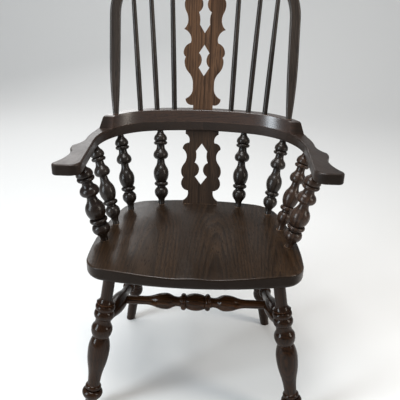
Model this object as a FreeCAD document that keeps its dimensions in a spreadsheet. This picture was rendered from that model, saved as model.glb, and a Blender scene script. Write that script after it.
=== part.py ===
import FreeCAD, Part
import math
import os

import Sketcher

# Captain's chair with a hooped back, a pierced splat, turned legs and turned arm spindles.
# The frame: +Z up, -Y the way the sitter faces, left is -X.
# Plan sizes are measured from the middle of the seat. At the end every piece moves, so that
# the origin lies on the floor below the middle of the whole chair.
# All lengths are in millimetres and all angles in degrees.

Vector = FreeCAD.Vector
UP = Vector(0, 0, 1)

# Driving dimensions. Each name becomes a cell of the sheet.
SIZES = {
    # Seat: a dished plank whose outline is a chain of touching arcs.
    "seat_height": 440.0,
    "seat_thickness": 38.0,
    "seat_front": 212.0,
    "seat_back": 218.0,
    "seat_half_width": 268.0,
    "seat_widest": 110.0,
    "seat_front_radius": 1100.0,
    "seat_side_radius": 750.0,
    "seat_back_radius": 800.0,
    "seat_front_corner_radius": 55.0,
    "seat_back_corner_radius": 90.0,
    "seat_under_rounding": 14.0,
    "seat_top_rounding": 4.0,
    "saddle_depth": 9.0,
    "saddle_half_width": 215.0,
    "saddle_back": 150.0,
    "saddle_back_start": 30.0,
    "saddle_front_start": 60.0,
    "saddle_front_share": 0.75,
    "pommel_height": 3.6,
    "pommel_half_width": 30.0,
    "saddle_blank_allowance": 4.0,
    # Arms: two flat bent arms that meet behind the sitter.
    "arm_top": 675.0,
    "arm_thickness": 28.0,
    "arm_width": 35.0,
    "arm_inner_half_width": 274.0,
    "arm_inner_back": 246.0,
    "arm_back_radius": 610.0,
    "arm_shoulder_radius": 170.0,
    "arm_top_rounding": 1.5,
    "arm_under_rounding": 3.5,
    "hand_front": 117.0,
    "hand_inner_corner_radius": 29.0,
    "hand_tip_centre_side": 330.0,
    "hand_tip_radius": 13.5,
    "hand_waist_side": 317.0,
    "hand_waist": 20.0,
    "elbow_front_side": 322.5,
    "elbow_front": 4.0,
    "elbow_back_side": 323.0,
    "elbow_back": 25.0,
    "elbow_radius": 45.0,
    "elbow_neck_side": 300.0,
    "elbow_neck": 80.0,
    # Crest: the raised rail that lies on both arms.
    "crest_height": 32.0,
    "crest_front_setback": 0.5,
    "crest_back_setback": 1.5,
    "crest_front_lean": 6.0,
    "crest_back_lean": 3.5,
    "crest_end": 160.0,
    "crest_ramp": 14.0,
    "crest_middle": 19.0,
    "crest_rounding": 1.5,
    # Hoop: the bent bow of the back, a flat arch that leans backwards.
    "hoop_lean": 16.5,
    "hoop_base_bearing": 44.4,
    "hoop_half_width": 256.5,
    "hoop_width": 28.5,
    "hoop_thickness": 21.0,
    "hoop_leg": 264.5,
    "hoop_rise": 210.0,
    "hoop_shoulder_radius": 170.0,
    "hoop_taper": 165.0,
    "hoop_base_width": 14.5,
    "hoop_base_thickness": 14.5,
    "hoop_rounding": 5.5,
    "hoop_tenon_diameter": 11.0,
    "hoop_tenon": 20.0,
    # Turned members: where they stand and how far they go into their sockets.
    "arm_spindle_seat_inset": 25.0,
    "arm_spindle_setback": 14.0,
    "front_arm_spindle_share": 1.17,
    "arm_spindle_seat_tenon": 22.0,
    "arm_spindle_arm_tenon": 18.0,
    "back_spindle_crest_tenon": 20.0,
    "back_spindle_hoop_tenon": 15.0,
    "leg_tenon": 25.0,
    "leg_front_top_side": 208.0,
    "leg_front_top": 157.0,
    "leg_front_foot_side": 274.0,
    "leg_front_foot": 198.0,
    "leg_rear_top_side": 152.0,
    "leg_rear_top": 135.0,
    "leg_rear_foot_side": 222.0,
    "leg_rear_foot": 215.0,
    "stretcher_front_height": 257.0,
    "stretcher_rear_height": 202.0,
    "cross_stretcher_place": 136.0,
    "stretcher_stop": 5.0,
    "foot_allowance": 12.0,
    # Splats: two pierced boards in the middle of the back.
    "splat_thickness": 11.0,
    "splat_lower_inset": 21.0,
    "splat_seat_tenon": 15.0,
    "splat_arm_tenon": 14.0,
    "splat_crest_tenon": 16.0,
    "splat_hoop_tenon": 12.0,
    "splat_entry": 8.0,
    # Screws that hold the crest down on the arms, driven from below.
    "screw_diameter": 5.0,
    "screw_head_diameter": 10.0,
    "screw_head_height": 3.5,
    "screw_grip": 20.0,
    "screw_point": 6.0,
    "screw_recess": 0.5,
    # Clearances of every joint.
    "socket_clearance": 0.1,
    "socket_end_gap": 0.4,
    "cutter_overrun": 40.0,
}

# How the arm spindles fan out: bearing of each foot on the seat and of each top under the arm.
# The first pair carries the hands and is thicker than the others.
ARM_SPINDLES = {
    "1": (-10.2, -8.1),
    "2": (12.4, 20.0),
    "3": (36.0, 40.8),
    "4": (58.6, 64.0),
}

# The back spindles: distance from the middle on the crest, and bearing of the top on the hoop.
BACK_SPINDLES = {
    "1": (176.0, 24.2),
    "2": (130.0, 40.7),
    "3": (81.0, 60.4),
}

# Distances of the crest screws from the middle.
SCREWS = {"1": 64.0, "2": 205.0}

# Turning patterns, from the lower end up. A station gives its run from the station before,
# its width across, and the line before and after it: a soft side runs parallel to the length.
PATTERNS = {
    "leg_front": [
        ("foot", 0.0, 27.0, "sharp"),
        ("ankle", 34.0, 31.0, "soft"),
        ("foot_ball", 26.0, 54.0, "soft"),
        ("foot_groove", 11.0, 34.0, "sharp"),
        ("foot_ring", 7.5, 42.0, "soft"),
        ("ring_top", 7.0, 33.0, "sharp"),
        ("vase_foot", 4.0, 32.5, "soft"),
        ("vase", 106.0, 56.0, "soft"),
        ("vase_top", 39.0, 40.0, "sharp"),
        ("ball", 23.5, 54.0, "soft"),
        ("neck", 24.0, 39.0, "soft"),
        ("neck_top", 8.0, 41.0, "sharp"),
        ("lower_ring", 11.5, 51.0, "soft"),
        ("ring_groove", 11.5, 42.0, "sharp"),
        ("upper_ring", 10.0, 49.0, "soft"),
        ("cup_groove", 7.0, 41.0, "sharp"),
        ("cup_edge", 5.0, 46.0, "sharp"),
        ("cup_neck", 16.0, 30.0, "soft"),
        ("seat", 59.0, 30.0, "soft"),
    ],
    "leg_rear": [
        ("foot", 0.0, 27.0, "sharp"),
        ("ankle", 106.0, 30.0, "soft"),
        ("ball", 30.0, 46.0, "soft"),
        ("ball_top", 19.0, 33.0, "sharp"),
        ("ring", 7.0, 40.0, "soft"),
        ("ring_top", 7.0, 33.0, "sharp"),
        ("bulb", 39.0, 44.0, "soft"),
        ("waist", 52.0, 31.0, "soft"),
        ("vase", 60.0, 38.0, "soft"),
        ("neck", 70.0, 28.0, "soft"),
        ("seat", 26.0, 28.0, "soft"),
    ],
    "side_stretcher": [
        ("front", 0.0, 22.0, "soft"),
        ("front_neck", 12.0, 22.0, "soft"),
        ("vase", 102.0, 46.0, "soft"),
        ("waist", 86.0, 24.0, "soft"),
        ("ring_foot", 13.0, 24.0, "sharp"),
        ("ring", 7.5, 34.5, "soft"),
        ("ring_top", 7.5, 25.0, "sharp"),
        ("rear_neck", 60.0, 20.0, "soft"),
        ("rear", 17.0, 20.0, "soft"),
    ],
    "cross_stretcher": [
        ("left", 0.0, 24.0, "soft"),
        ("left_neck", 45.5, 24.0, "soft"),
        ("left_vase", 60.0, 46.0, "soft"),
        ("left_waist", 33.0, 27.0, "soft"),
        ("left_disc_foot", 9.0, 32.0, "sharp"),
        ("left_disc", 7.0, 48.0, "soft"),
        ("left_groove", 8.0, 37.0, "sharp"),
        ("ball", 26.0, 49.0, "soft"),
        ("right_groove", 26.0, 37.0, "sharp"),
        ("right_disc", 8.0, 48.0, "soft"),
        ("right_disc_foot", 7.0, 32.0, "sharp"),
        ("right_waist", 9.0, 27.0, "soft"),
        ("right_vase", 33.0, 46.0, "soft"),
        ("right_neck", 60.0, 24.0, "soft"),
        ("right", 45.5, 24.0, "soft"),
    ],
    "arm_spindle": [
        ("foot", 0.0, 17.0, "soft"),
        ("toe", 6.0, 17.0, "soft"),
        ("ball", 29.0, 40.0, "soft"),
        ("ball_top", 14.0, 25.0, "sharp"),
        ("ring_foot", 4.0, 25.0, "sharp"),
        ("ring", 6.5, 40.0, "soft"),
        ("vase_foot", 5.5, 29.0, "sharp"),
        ("vase", 25.0, 44.0, "soft"),
        ("waist", 38.0, 21.5, "soft"),
        ("waist_top", 3.0, 21.5, "sharp"),
        ("bulb", 12.0, 43.0, "soft"),
        ("collar", 25.0, 23.0, "soft"),
        ("collar_top", 5.0, 23.0, "sharp"),
        ("disc", 5.5, 39.0, "soft"),
        ("disc_groove", 4.5, 28.0, "sharp"),
        ("bell", 7.0, 38.0, "soft"),
        ("bell_neck", 25.0, 16.5, "soft"),
        ("arm", 2.0, 16.5, "soft"),
    ],
    "back_spindle": [
        ("crest", 0.0, 14.5, "sharp"),
        ("swell", 110.0, 15.0, "sharp"),
        ("hoop", 280.0, 11.5, "sharp"),
    ],
    "lower_splat": [
        ("foot", 0.0, 100.0, "sharp"),
        ("foot_top", 8.0, 100.0, "sharp"),
        ("ankle", 22.0, 73.0, "soft"),
        ("calf", 6.5, 74.0, "sharp"),
        ("lower_lobe", 21.5, 115.0, "soft"),
        ("notch", 17.0, 102.0, "sharp"),
        ("upper_lobe", 18.0, 117.0, "soft"),
        ("waist", 43.0, 86.5, "soft"),
        ("beak", 23.0, 111.0, "sharp_soft"),
        ("beak_top", 17.5, 75.0, "sharp"),
        ("neck", 7.5, 72.0, "soft"),
        ("shoulder", 18.0, 96.0, "sharp"),
        ("arm", 15.0, 96.0, "sharp"),
    ],
    "lower_hole": [
        ("tip", 55.0, 0.0, "sharp"),
        ("lower_point", 23.5, 36.0, "sharp"),
        ("pinch", 20.5, 11.5, "soft"),
        ("upper_point", 20.0, 39.0, "sharp"),
        ("side", 20.0, 29.5, "soft"),
        ("shoulder", 13.5, 33.0, "sharp"),
        ("top", 22.5, 0.0, "sharp"),
    ],
    "upper_splat": [
        ("crest", 0.0, 56.0, "sharp"),
        ("entry", 11.5, 56.0, "sharp"),
        ("first_tip", 17.0, 100.0, "soft_sharp"),
        ("first_waist", 29.5, 60.0, "soft"),
        ("first_rise", 14.0, 60.0, "soft"),
        ("first_lobe", 61.0, 109.0, "soft"),
        ("first_notch", 12.5, 102.0, "sharp"),
        ("second_lobe", 12.0, 115.0, "soft"),
        ("second_lobe_top", 26.0, 77.0, "sharp"),
        ("cove", 8.5, 73.0, "soft"),
        ("second_tip", 28.0, 115.0, "sharp"),
        ("second_waist", 25.0, 92.0, "soft"),
        ("third_lobe", 41.0, 113.0, "soft"),
        ("second_notch", 17.0, 102.0, "sharp"),
        ("fourth_lobe", 17.0, 113.0, "soft"),
        ("fourth_lobe_top", 17.5, 76.0, "sharp"),
        ("upper_cove", 8.0, 72.0, "soft"),
        ("third_waist", 27.0, 60.0, "soft"),
        ("third_tip", 31.5, 100.0, "sharp_soft"),
        ("exit", 17.0, 56.0, "sharp"),
        ("hoop", 13.0, 56.0, "sharp"),
    ],
    "middle_hole": [
        ("tip", 93.0, 0.0, "sharp"),
        ("lower_point", 24.0, 31.0, "sharp"),
        ("pinch", 20.0, 13.0, "soft"),
        ("upper_point", 19.5, 29.5, "sharp"),
        ("top", 22.5, 0.0, "sharp"),
    ],
    "upper_hole": [
        ("tip", 210.5, 0.0, "sharp"),
        ("lower_point", 22.5, 28.0, "sharp"),
        ("side", 13.0, 26.5, "soft"),
        ("middle_point", 19.5, 35.0, "sharp"),
        ("pinch", 21.0, 12.0, "soft"),
        ("upper_point", 20.5, 34.0, "sharp"),
        ("top", 23.0, 0.0, "sharp"),
    ],
}

# The front arm spindles have the same pattern, only wider.
PATTERNS["front_arm_spindle"] = [
    (station, run, width * SIZES["front_arm_spindle_share"], form)
    for station, run, width, form in PATTERNS["arm_spindle"]
]

SIDES = (("left", -1), ("right", 1))

doc = FreeCAD.newDocument("captains_chair")
sheet = doc.addObject("Spreadsheet::Sheet", "Sizes")
sheet_rows = []
subparts = []


def add_size(name, number):
    """Writes one named number into the sheet and returns it."""
    sheet_rows.append(name)
    row = len(sheet_rows)
    sheet.set("A%d" % row, name)
    sheet.set("B%d" % row, "%.9g" % number)
    sheet.setAlias("B%d" % row, name)
    return number


def fill_sheet():
    """Writes the driving dimensions and every station of the patterns."""
    for name, number in SIZES.items():
        add_size(name, number)
    for key, (foot_bearing, top_bearing) in ARM_SPINDLES.items():
        add_size("arm_spindle_%s_foot_bearing" % key, foot_bearing)
        add_size("arm_spindle_%s_top_bearing" % key, top_bearing)
    for key, (crest_place, top_bearing) in BACK_SPINDLES.items():
        add_size("back_spindle_%s_place" % key, crest_place)
        add_size("back_spindle_%s_top_bearing" % key, top_bearing)
    for key, place in SCREWS.items():
        add_size("screw_%s_place" % key, place)
    for pattern, stations in PATTERNS.items():
        at = 0.0
        for station, run, width, _ in stations:
            at += run
            add_size("%s_%s_at" % (pattern, station), at)
            add_size("%s_%s_width" % (pattern, station), width)
    doc.recompute()


def size(name):
    """The number in the sheet's cell of this name."""
    return float(sheet.get(name))


def number_of(text):
    """The number that an expression on the sheet gives."""
    if "Touched" in sheet.State:
        sheet.recompute()
    return float(sheet.evalExpression(text))


def cell(name):
    """The expression that reads one cell from another object."""
    return "Sizes.%s" % name


def pattern_length(pattern):
    """Length of a turning pattern from its first station to its last."""
    return size("%s_%s_at" % (pattern, PATTERNS[pattern][-1][0]))


def direction(bearing):
    """Level unit vector at a bearing from +X towards +Y."""
    angle = math.radians(bearing)
    return Vector(math.cos(angle), math.sin(angle), 0)


def crossing(centre_a, reach_a, centre_b, reach_b, side):
    """Point at a distance from each of two centres, on one side of the line between them."""
    between = centre_b - centre_a
    gap = between.Length
    along = (reach_a ** 2 - reach_b ** 2 + gap ** 2) / (2 * gap)
    away = math.sqrt(reach_a ** 2 - along ** 2)
    unit = between / gap
    return centre_a + unit * along + Vector(-unit.y, unit.x, 0) * away * side


def towards(start, aim, distance):
    """The point at a distance from start on the way to aim."""
    step = aim - start
    return start + step * (distance / step.Length)


def lifted(point, height):
    """The plan point lifted to a height."""
    return Vector(point.x, point.y, height)


def flip(point, side):
    """The point itself for the right side, its mirror image for the left."""
    return Vector(side * point.x, point.y, point.z)


def name_point(name, point):
    """Keeps a worked-out plan point in the sheet and returns its two expressions."""
    add_size(name + "_x", point.x)
    add_size(name + "_y", point.y)
    return cell(name + "_x"), cell(name + "_y")


def mirrored(point_text):
    """The same point on the other side of the middle plane."""
    return "-1 * (%s)" % point_text[0], point_text[1]


def arc_by_centre(start, end, centre):
    """The shorter arc from start to end, and which of its ends is the start."""
    radius = (start - centre).Length
    first = math.atan2(start.y - centre.y, start.x - centre.x)
    last = math.atan2(end.y - centre.y, end.x - centre.x)
    turn = (last - first) % (2 * math.pi)
    circle = Part.Circle(centre, UP, radius)
    if turn <= math.pi:
        return Part.ArcOfCircle(circle, first, first + turn), 1
    return Part.ArcOfCircle(circle, last, last + 2 * math.pi - turn), 2


def radius_centre(start, end, radius, turn):
    """Centre of an arc that turns left (+1) or right (-1) on its way from start to end."""
    half = (end - start) * 0.5
    away = math.sqrt(radius ** 2 - half.Length ** 2)
    return start + half + Vector(-half.y, half.x, 0) * (turn * away / half.Length)


def level_centre(start, end, level):
    """Centre at a given height in the sketch, as far from start as from end."""
    middle = (start + end) * 0.5
    chord = end - start
    return Vector(middle.x - chord.y * (level - middle.y) / chord.x, level, 0)


def add_loop(sketch, points, links):
    """Draws a closed loop in a sketch and ties each of its points to the sheet.

    A link joins a point to the next one: "line", ("radius", expression, turn) for an arc
    of that radius, or ("level", expression) for an arc whose centre lies at that height.
    """
    places = [Vector(number_of(x), number_of(y), 0) for x, y in points]
    shapes = []
    starts = []
    for index, link in enumerate(links):
        start = places[index]
        end = places[(index + 1) % len(places)]
        if link == "line":
            shapes.append(Part.LineSegment(start, end))
            starts.append(1)
            continue
        if link[0] == "radius":
            centre = radius_centre(start, end, number_of(link[1]), link[2])
        else:
            centre = level_centre(start, end, number_of(link[1]))
        arc, start_end = arc_by_centre(start, end, centre)
        shapes.append(arc)
        starts.append(start_end)
    first = sketch.GeometryCount
    sketch.addGeometry(shapes, False)
    constraints = []
    expressions = []
    for index, (x, y) in enumerate(points):
        shape = first + index
        before = (index - 1) % len(points)
        end_before = 3 - starts[before]
        constraints.append(Sketcher.Constraint("Coincident", first + before, end_before, shape, starts[index]))
        expressions.append(None)
        for kind, text, number in (("DistanceX", x, places[index].x), ("DistanceY", y, places[index].y)):
            constraints.append(Sketcher.Constraint(kind, -1, 1, shape, starts[index], number))
            expressions.append(text)
        link = links[index]
        if link == "line":
            continue
        if link[0] == "radius":
            constraints.append(Sketcher.Constraint("Radius", shape, number_of(link[1])))
        else:
            constraints.append(Sketcher.Constraint("DistanceY", -1, 1, shape, 3, number_of(link[1])))
        expressions.append(link[1])
    added = sketch.addConstraint(constraints)
    for place, text in zip(added, expressions):
        if text is not None:
            sketch.setExpression("Constraints[%d]" % place, text)


def is_soft(form, side):
    """Whether the pattern's line runs parallel to the length on this side of a station."""
    return form.split("_")[-1 if side == "after" else 0] == "soft"


def pattern_points(pattern, stretch):
    """Points and links along one side of a pattern, with soft to soft drawn as an ogee."""
    points = []
    links = []
    stations = PATTERNS[pattern]
    for index, (station, _, _, form) in enumerate(stations):
        x = "%s / 2" % cell("%s_%s_width" % (pattern, station))
        y = "%s * %s" % (cell("%s_%s_at" % (pattern, station)), stretch)
        points.append((x, y))
        if index == len(stations) - 1:
            break
        next_station, _, next_width, next_form = stations[index + 1]
        next_x = "%s / 2" % cell("%s_%s_width" % (pattern, next_station))
        next_y = "%s * %s" % (cell("%s_%s_at" % (pattern, next_station)), stretch)
        soft_here = is_soft(form, "after")
        soft_there = is_soft(next_form, "before")
        straight = abs(number_of(x) - number_of(next_x)) < 0.01
        if straight or not (soft_here or soft_there):
            links.append("line")
        elif soft_here and soft_there:
            links.append(("level", y))
            points.append(("(%s + %s) / 2" % (x, next_x), "(%s + %s) / 2" % (y, next_y)))
            links.append(("level", next_y))
        else:
            links.append(("level", y if soft_here else next_y))
    return points, links


def origin_plane(body, role):
    """One of a body's own origin planes."""
    for feature in body.Origin.OriginFeatures:
        if feature.Role == role:
            return feature
    raise ValueError("no plane %s" % role)


def new_sketch(body, name, role, height=None):
    """A sketch on an origin plane of its body, raised by an expression where one is given."""
    sketch = body.newObject("Sketcher::SketchObject", name)
    sketch.AttachmentSupport = (origin_plane(body, role), [""])
    sketch.MapMode = "FlatFace"
    if height is not None:
        sketch.setExpression("AttachmentOffset.Base.z", height)
    return sketch


def new_body(label):
    """An empty body with this label."""
    body = doc.addObject("PartDesign::Body", label)
    body.Label = label
    return body


def placed(start, aim):
    """Placement whose Z axis runs from start towards aim."""
    return FreeCAD.Placement(start, FreeCAD.Rotation(UP, aim - start))


def keep(part):
    """Lists a finished sub-part for the checks and the export."""
    subparts.append(part)
    return part


def keep_pair(part, name, number=""):
    """Lists the right-hand piece and adds its mirror image as the left-hand one."""
    part.Label = "%s_right%s" % (name, number)
    keep(part)
    twin = doc.addObject("Part::Mirroring", "%s_left%s" % (name, number))
    twin.Label = "%s_left%s" % (name, number)
    twin.Source = part
    twin.Normal = Vector(1, 0, 0)
    return keep(twin)


class Member:
    """A turned piece on the line between two points, with its pattern fitted to the length."""

    def __init__(self, label, pattern, start, end, start_reach, end_reach):
        self.label = label
        self.pattern = pattern
        self.start = start
        self.end = end
        self.start_reach = start_reach
        self.end_reach = end_reach
        self.length = (end - start).Length
        add_size(label + "_stretch", self.length / pattern_length(pattern))
        self.stretch = cell(label + "_stretch")

    def placement(self):
        return placed(self.start, self.end)

    def point(self, distance):
        """A point on the axis at a distance from the start."""
        return towards(self.start, self.end, distance)

    def turn(self, label):
        """The turned body, a half profile spun about its own axis."""
        points, links = pattern_points(self.pattern, self.stretch)
        first_x = points[0][0]
        last_x = points[-1][0]
        low = "-1 * (%s)" % self.start_reach
        high = "%s + %s" % (points[-1][1], self.end_reach)
        points = [("0", low), (first_x, low)] + points + [(last_x, high), ("0", high)]
        links = ["line", "line"] + links + ["line", "line", "line"]
        body = new_body(label)
        sketch = new_sketch(body, label + "_profile", "XZ_Plane")
        add_loop(sketch, points, links)
        spin = body.newObject("PartDesign::Revolution", label + "_spin")
        spin.Profile = sketch
        spin.ReferenceAxis = (sketch, ["V_Axis"])
        spin.Angle = 360
        body.Placement = self.placement()
        return body

    def socket(self, name, at_end, side=1):
        """A cutter for the socket that holds one end of the member, or of its twin."""
        station = PATTERNS[self.pattern][-1 if at_end else 0][0]
        reach = self.end_reach if at_end else self.start_reach
        tool = doc.addObject("Part::Cylinder", name)
        width = cell("%s_%s_width" % (self.pattern, station))
        tool.setExpression("Radius", "%s / 2 + %s" % (width, cell("socket_clearance")))
        overrun = size("cutter_overrun")
        terms = (reach, cell("socket_end_gap"), cell("cutter_overrun"))
        tool.setExpression("Height", "%s + %s + %s" % terms)
        entry = self.point(self.length - overrun if at_end else overrun)
        tool.Placement = placed(flip(entry, side), flip(self.end if at_end else self.start, side))
        return tool


def cut_away(label, base, tools):
    """The base with every tool cut out of it."""
    cut = doc.addObject("Part::Cut", label)
    cut.Label = label
    cut.Base = base
    if len(tools) == 1:
        cut.Tool = tools[0]
    else:
        group = doc.addObject("Part::MultiFuse", label + "_cutters")
        group.Shapes = tools
        cut.Tool = group
    return cut


def level_edges(shape, height):
    """Names of the edges that lie flat at a height of the shape, apart from the middle plane's."""
    names = []
    for index, edge in enumerate(shape.Edges):
        box = edge.BoundBox
        if abs(box.ZMin - height) < 0.01 and abs(box.ZMax - height) < 0.01 and box.XLength > 0.01:
            names.append("Edge%d" % (index + 1))
    return names


def round_edges(body, base, name, edges, radius):
    """Rounds edges of the body's last feature."""
    fillet = body.newObject("PartDesign::Fillet", name)
    fillet.Base = (base, edges)
    fillet.setExpression("Radius", radius)
    doc.recompute()
    return fillet


def ease_edges(name, base, edges, radius):
    """Rounds named edges of a finished shape."""
    fillet = doc.addObject("Part::Fillet", name)
    fillet.Base = base
    fillet.Edges = [(int(edge[4:]), radius, radius) for edge in edges]
    doc.recompute()
    return fillet


def pad_up(body, sketch, name, length):
    """Pads a sketch upwards by an expression."""
    pad = body.newObject("PartDesign::Pad", name)
    pad.Profile = sketch
    pad.setExpression("Length", length)
    doc.recompute()
    return pad


def screw_outline():
    """Half profile of a countersunk wood screw that points upwards."""
    head = "%s / 2" % cell("screw_head_diameter")
    shank = "%s / 2" % cell("screw_diameter")
    shoulder = "%s - %s + %s" % (cell("arm_thickness"), cell("screw_recess"), cell("screw_grip"))
    point = "%s + %s" % (shoulder, cell("screw_point"))
    return [("0", "0"), (head, "0"), (shank, cell("screw_head_height")), (shank, shoulder), ("0", point)]


def make_screw(label, base):
    """One screw, its head down at the base point."""
    body = new_body(label)
    sketch = new_sketch(body, label + "_profile", "XZ_Plane")
    points = screw_outline()
    add_loop(sketch, points, ["line"] * len(points))
    spin = body.newObject("PartDesign::Revolution", label + "_spin")
    spin.Profile = sketch
    spin.ReferenceAxis = (sketch, ["V_Axis"])
    spin.Angle = 360
    body.Placement.Base = base
    return body


def screw_hole(label, base):
    """Cutters for one screw: the head's cone, the entry below it and the long hole."""
    points = screw_outline()
    gap = cell("socket_clearance")
    cone = doc.addObject("Part::Cone", label + "_cone")
    cone.setExpression("Radius1", "%s + %s" % (points[1][0], gap))
    cone.setExpression("Radius2", "%s + %s" % (points[2][0], gap))
    cone.setExpression("Height", points[2][1])
    entry = doc.addObject("Part::Cylinder", label + "_entry")
    entry.setExpression("Radius", "%s + %s" % (points[1][0], gap))
    entry.setExpression("Height", "2 * %s" % cell("screw_recess"))
    hole = doc.addObject("Part::Cylinder", label + "_hole")
    hole.setExpression("Radius", "%s + %s" % (points[2][0], gap))
    hole.setExpression("Height", "%s + %s" % (points[4][1], cell("socket_end_gap")))
    for tool in (cone, entry, hole):
        tool.Placement.Base = base
    entry.Placement.Base = base - UP * (2 * size("screw_recess"))
    return [cone, entry, hole]


def slab_below(name, height):
    """A wide block whose top face lies at a height."""
    block = doc.addObject("Part::Box", name)
    for side in ("Length", "Width", "Height"):
        setattr(block, side, 2 * size("arm_thickness") * size("cutter_overrun"))
    half = block.Length.Value / 2
    block.Placement.Base = Vector(-half, -half, height - block.Height.Value)
    return block


def arc_between(centre, radius, start, end):
    """Edge of a circle, anticlockwise between the bearings of two points from its centre."""
    first = math.atan2(start.y - centre.y, start.x - centre.x)
    last = math.atan2(end.y - centre.y, end.x - centre.x)
    if last < first:
        last += 2 * math.pi
    return Part.ArcOfCircle(Part.Circle(centre, UP, radius), first, last).toShape()


def meet(track, start, end):
    """The point where the line from start to end crosses a track of edges."""
    line = Part.makeLine(start, end)
    for edge in track:
        distance, pairs, _ = edge.distToShape(line)
        if distance < 1e-4:
            return pairs[0][0]
    raise ValueError("the line does not cross the track")


def smooth(share):
    """Rises gently from 0 to 1."""
    share = min(1.0, max(0.0, share))
    return share * share * (3 - 2 * share)


class SeatPlan:
    """Plan of the seat: a wide front arc, two sides, a back arc and four corner arcs."""

    def __init__(self):
        front_radius = size("seat_front_radius")
        side_radius = size("seat_side_radius")
        back_radius = size("seat_back_radius")
        self.front = Vector(0, front_radius - size("seat_front"), 0)
        self.side = Vector(size("seat_half_width") - side_radius, -size("seat_widest"), 0)
        self.back = Vector(0, size("seat_back") - back_radius, 0)
        corner = size("seat_front_corner_radius")
        front_corner = crossing(self.front, front_radius - corner, self.side, side_radius - corner, 1)
        self.front_start = towards(self.front, front_corner, front_radius)
        self.side_start = towards(self.side, front_corner, side_radius)
        corner = size("seat_back_corner_radius")
        self.corner = crossing(self.side, side_radius - corner, self.back, back_radius - corner, 1)
        self.side_end = towards(self.side, self.corner, side_radius)
        self.back_end = towards(self.back, self.corner, back_radius)
        self.corners = [
            name_point("seat_front_end", self.front_start),
            name_point("seat_side_start", self.side_start),
            name_point("seat_side_end", self.side_end),
            name_point("seat_back_end", self.back_end),
        ]

    def track(self, inset):
        """The right half of the outline from side to back, moved inwards."""
        side = size("seat_side_radius") - inset
        corner = size("seat_back_corner_radius") - inset
        back = size("seat_back_radius") - inset
        middle = Vector(0, size("seat_back"), 0)
        return [
            arc_between(self.side, side, self.side_start, self.side_end),
            arc_between(self.corner, corner, self.side_end, self.back_end),
            arc_between(self.back, back, self.back_end, middle),
        ]


def seat_blank(plan):
    """The seat plank with its outline and its rounded lower edge, a little too thick."""
    points = plan.corners + [mirrored(point) for point in reversed(plan.corners)]
    radii = ["front_corner", "side", "back_corner", "back", "back_corner", "side", "front_corner", "front"]
    links = [("radius", cell("seat_%s_radius" % name), 1) for name in radii]
    body = new_body("seat_blank")
    underside = "%s - %s" % (cell("seat_height"), cell("seat_thickness"))
    sketch = new_sketch(body, "seat_outline", "XY_Plane", underside)
    add_loop(sketch, points, links)
    depth = "%s + %s" % (cell("seat_thickness"), cell("saddle_blank_allowance"))
    pad = pad_up(body, sketch, "seat_plank", depth)
    low_edges = level_edges(pad.Shape, size("seat_height") - size("seat_thickness"))
    round_edges(body, pad, "seat_under_round", low_edges, cell("seat_under_rounding"))
    return body


def saddle_height(x, y):
    """Height of the dished top: two shallow hollows with a low pommel between them in front."""
    hollow = max(0.0, 1 - (x / size("saddle_half_width")) ** 2) ** 2
    start = size("saddle_front_start")
    forward = smooth((-start - y) / (size("seat_front") - start))
    behind = smooth((y - size("saddle_back_start")) / (size("saddle_back") - size("saddle_back_start")))
    along = (1 - behind) * (1 - (1 - size("saddle_front_share")) * forward)
    pommel = math.exp(-(x / size("pommel_half_width")) ** 2) * forward
    return size("seat_height") - size("saddle_depth") * hollow * along + size("pommel_height") * pommel


def saddle_cutter():
    """Everything above the dished top of the seat."""
    margin = size("cutter_overrun") / 2
    reach_x = size("seat_half_width") + margin
    first_y = -size("seat_front") - margin
    last_y = size("seat_back") + margin
    columns = 26
    rows = 22
    grid = []
    for i in range(columns + 1):
        x = reach_x * (2 * i / columns - 1)
        ys = [first_y + (last_y - first_y) * j / rows for j in range(rows + 1)]
        grid.append([Vector(x, y, saddle_height(x, y)) for y in ys])
    top = Part.BSplineSurface()
    top.interpolate(grid)
    cutter = doc.addObject("Part::Feature", "saddle_cutter")
    cutter.Shape = top.toShape().extrude(Vector(0, 0, size("cutter_overrun")))
    cutter.Placement = FreeCAD.Placement()
    return cutter


def make_seat(plan, cutters):
    """The seat: blank, dished top, eased top edge, then all the sockets."""
    dished = cut_away("seat_dished", seat_blank(plan), [saddle_cutter()])
    doc.recompute()
    low = size("seat_height") - size("saddle_depth") - 1
    edges = ["Edge%d" % (i + 1) for i, edge in enumerate(dished.Shape.Edges) if edge.BoundBox.ZMin > low]
    eased = ease_edges("seat_eased", dished, edges, size("seat_top_rounding"))
    return keep(cut_away("seat", eased, cutters))


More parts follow.
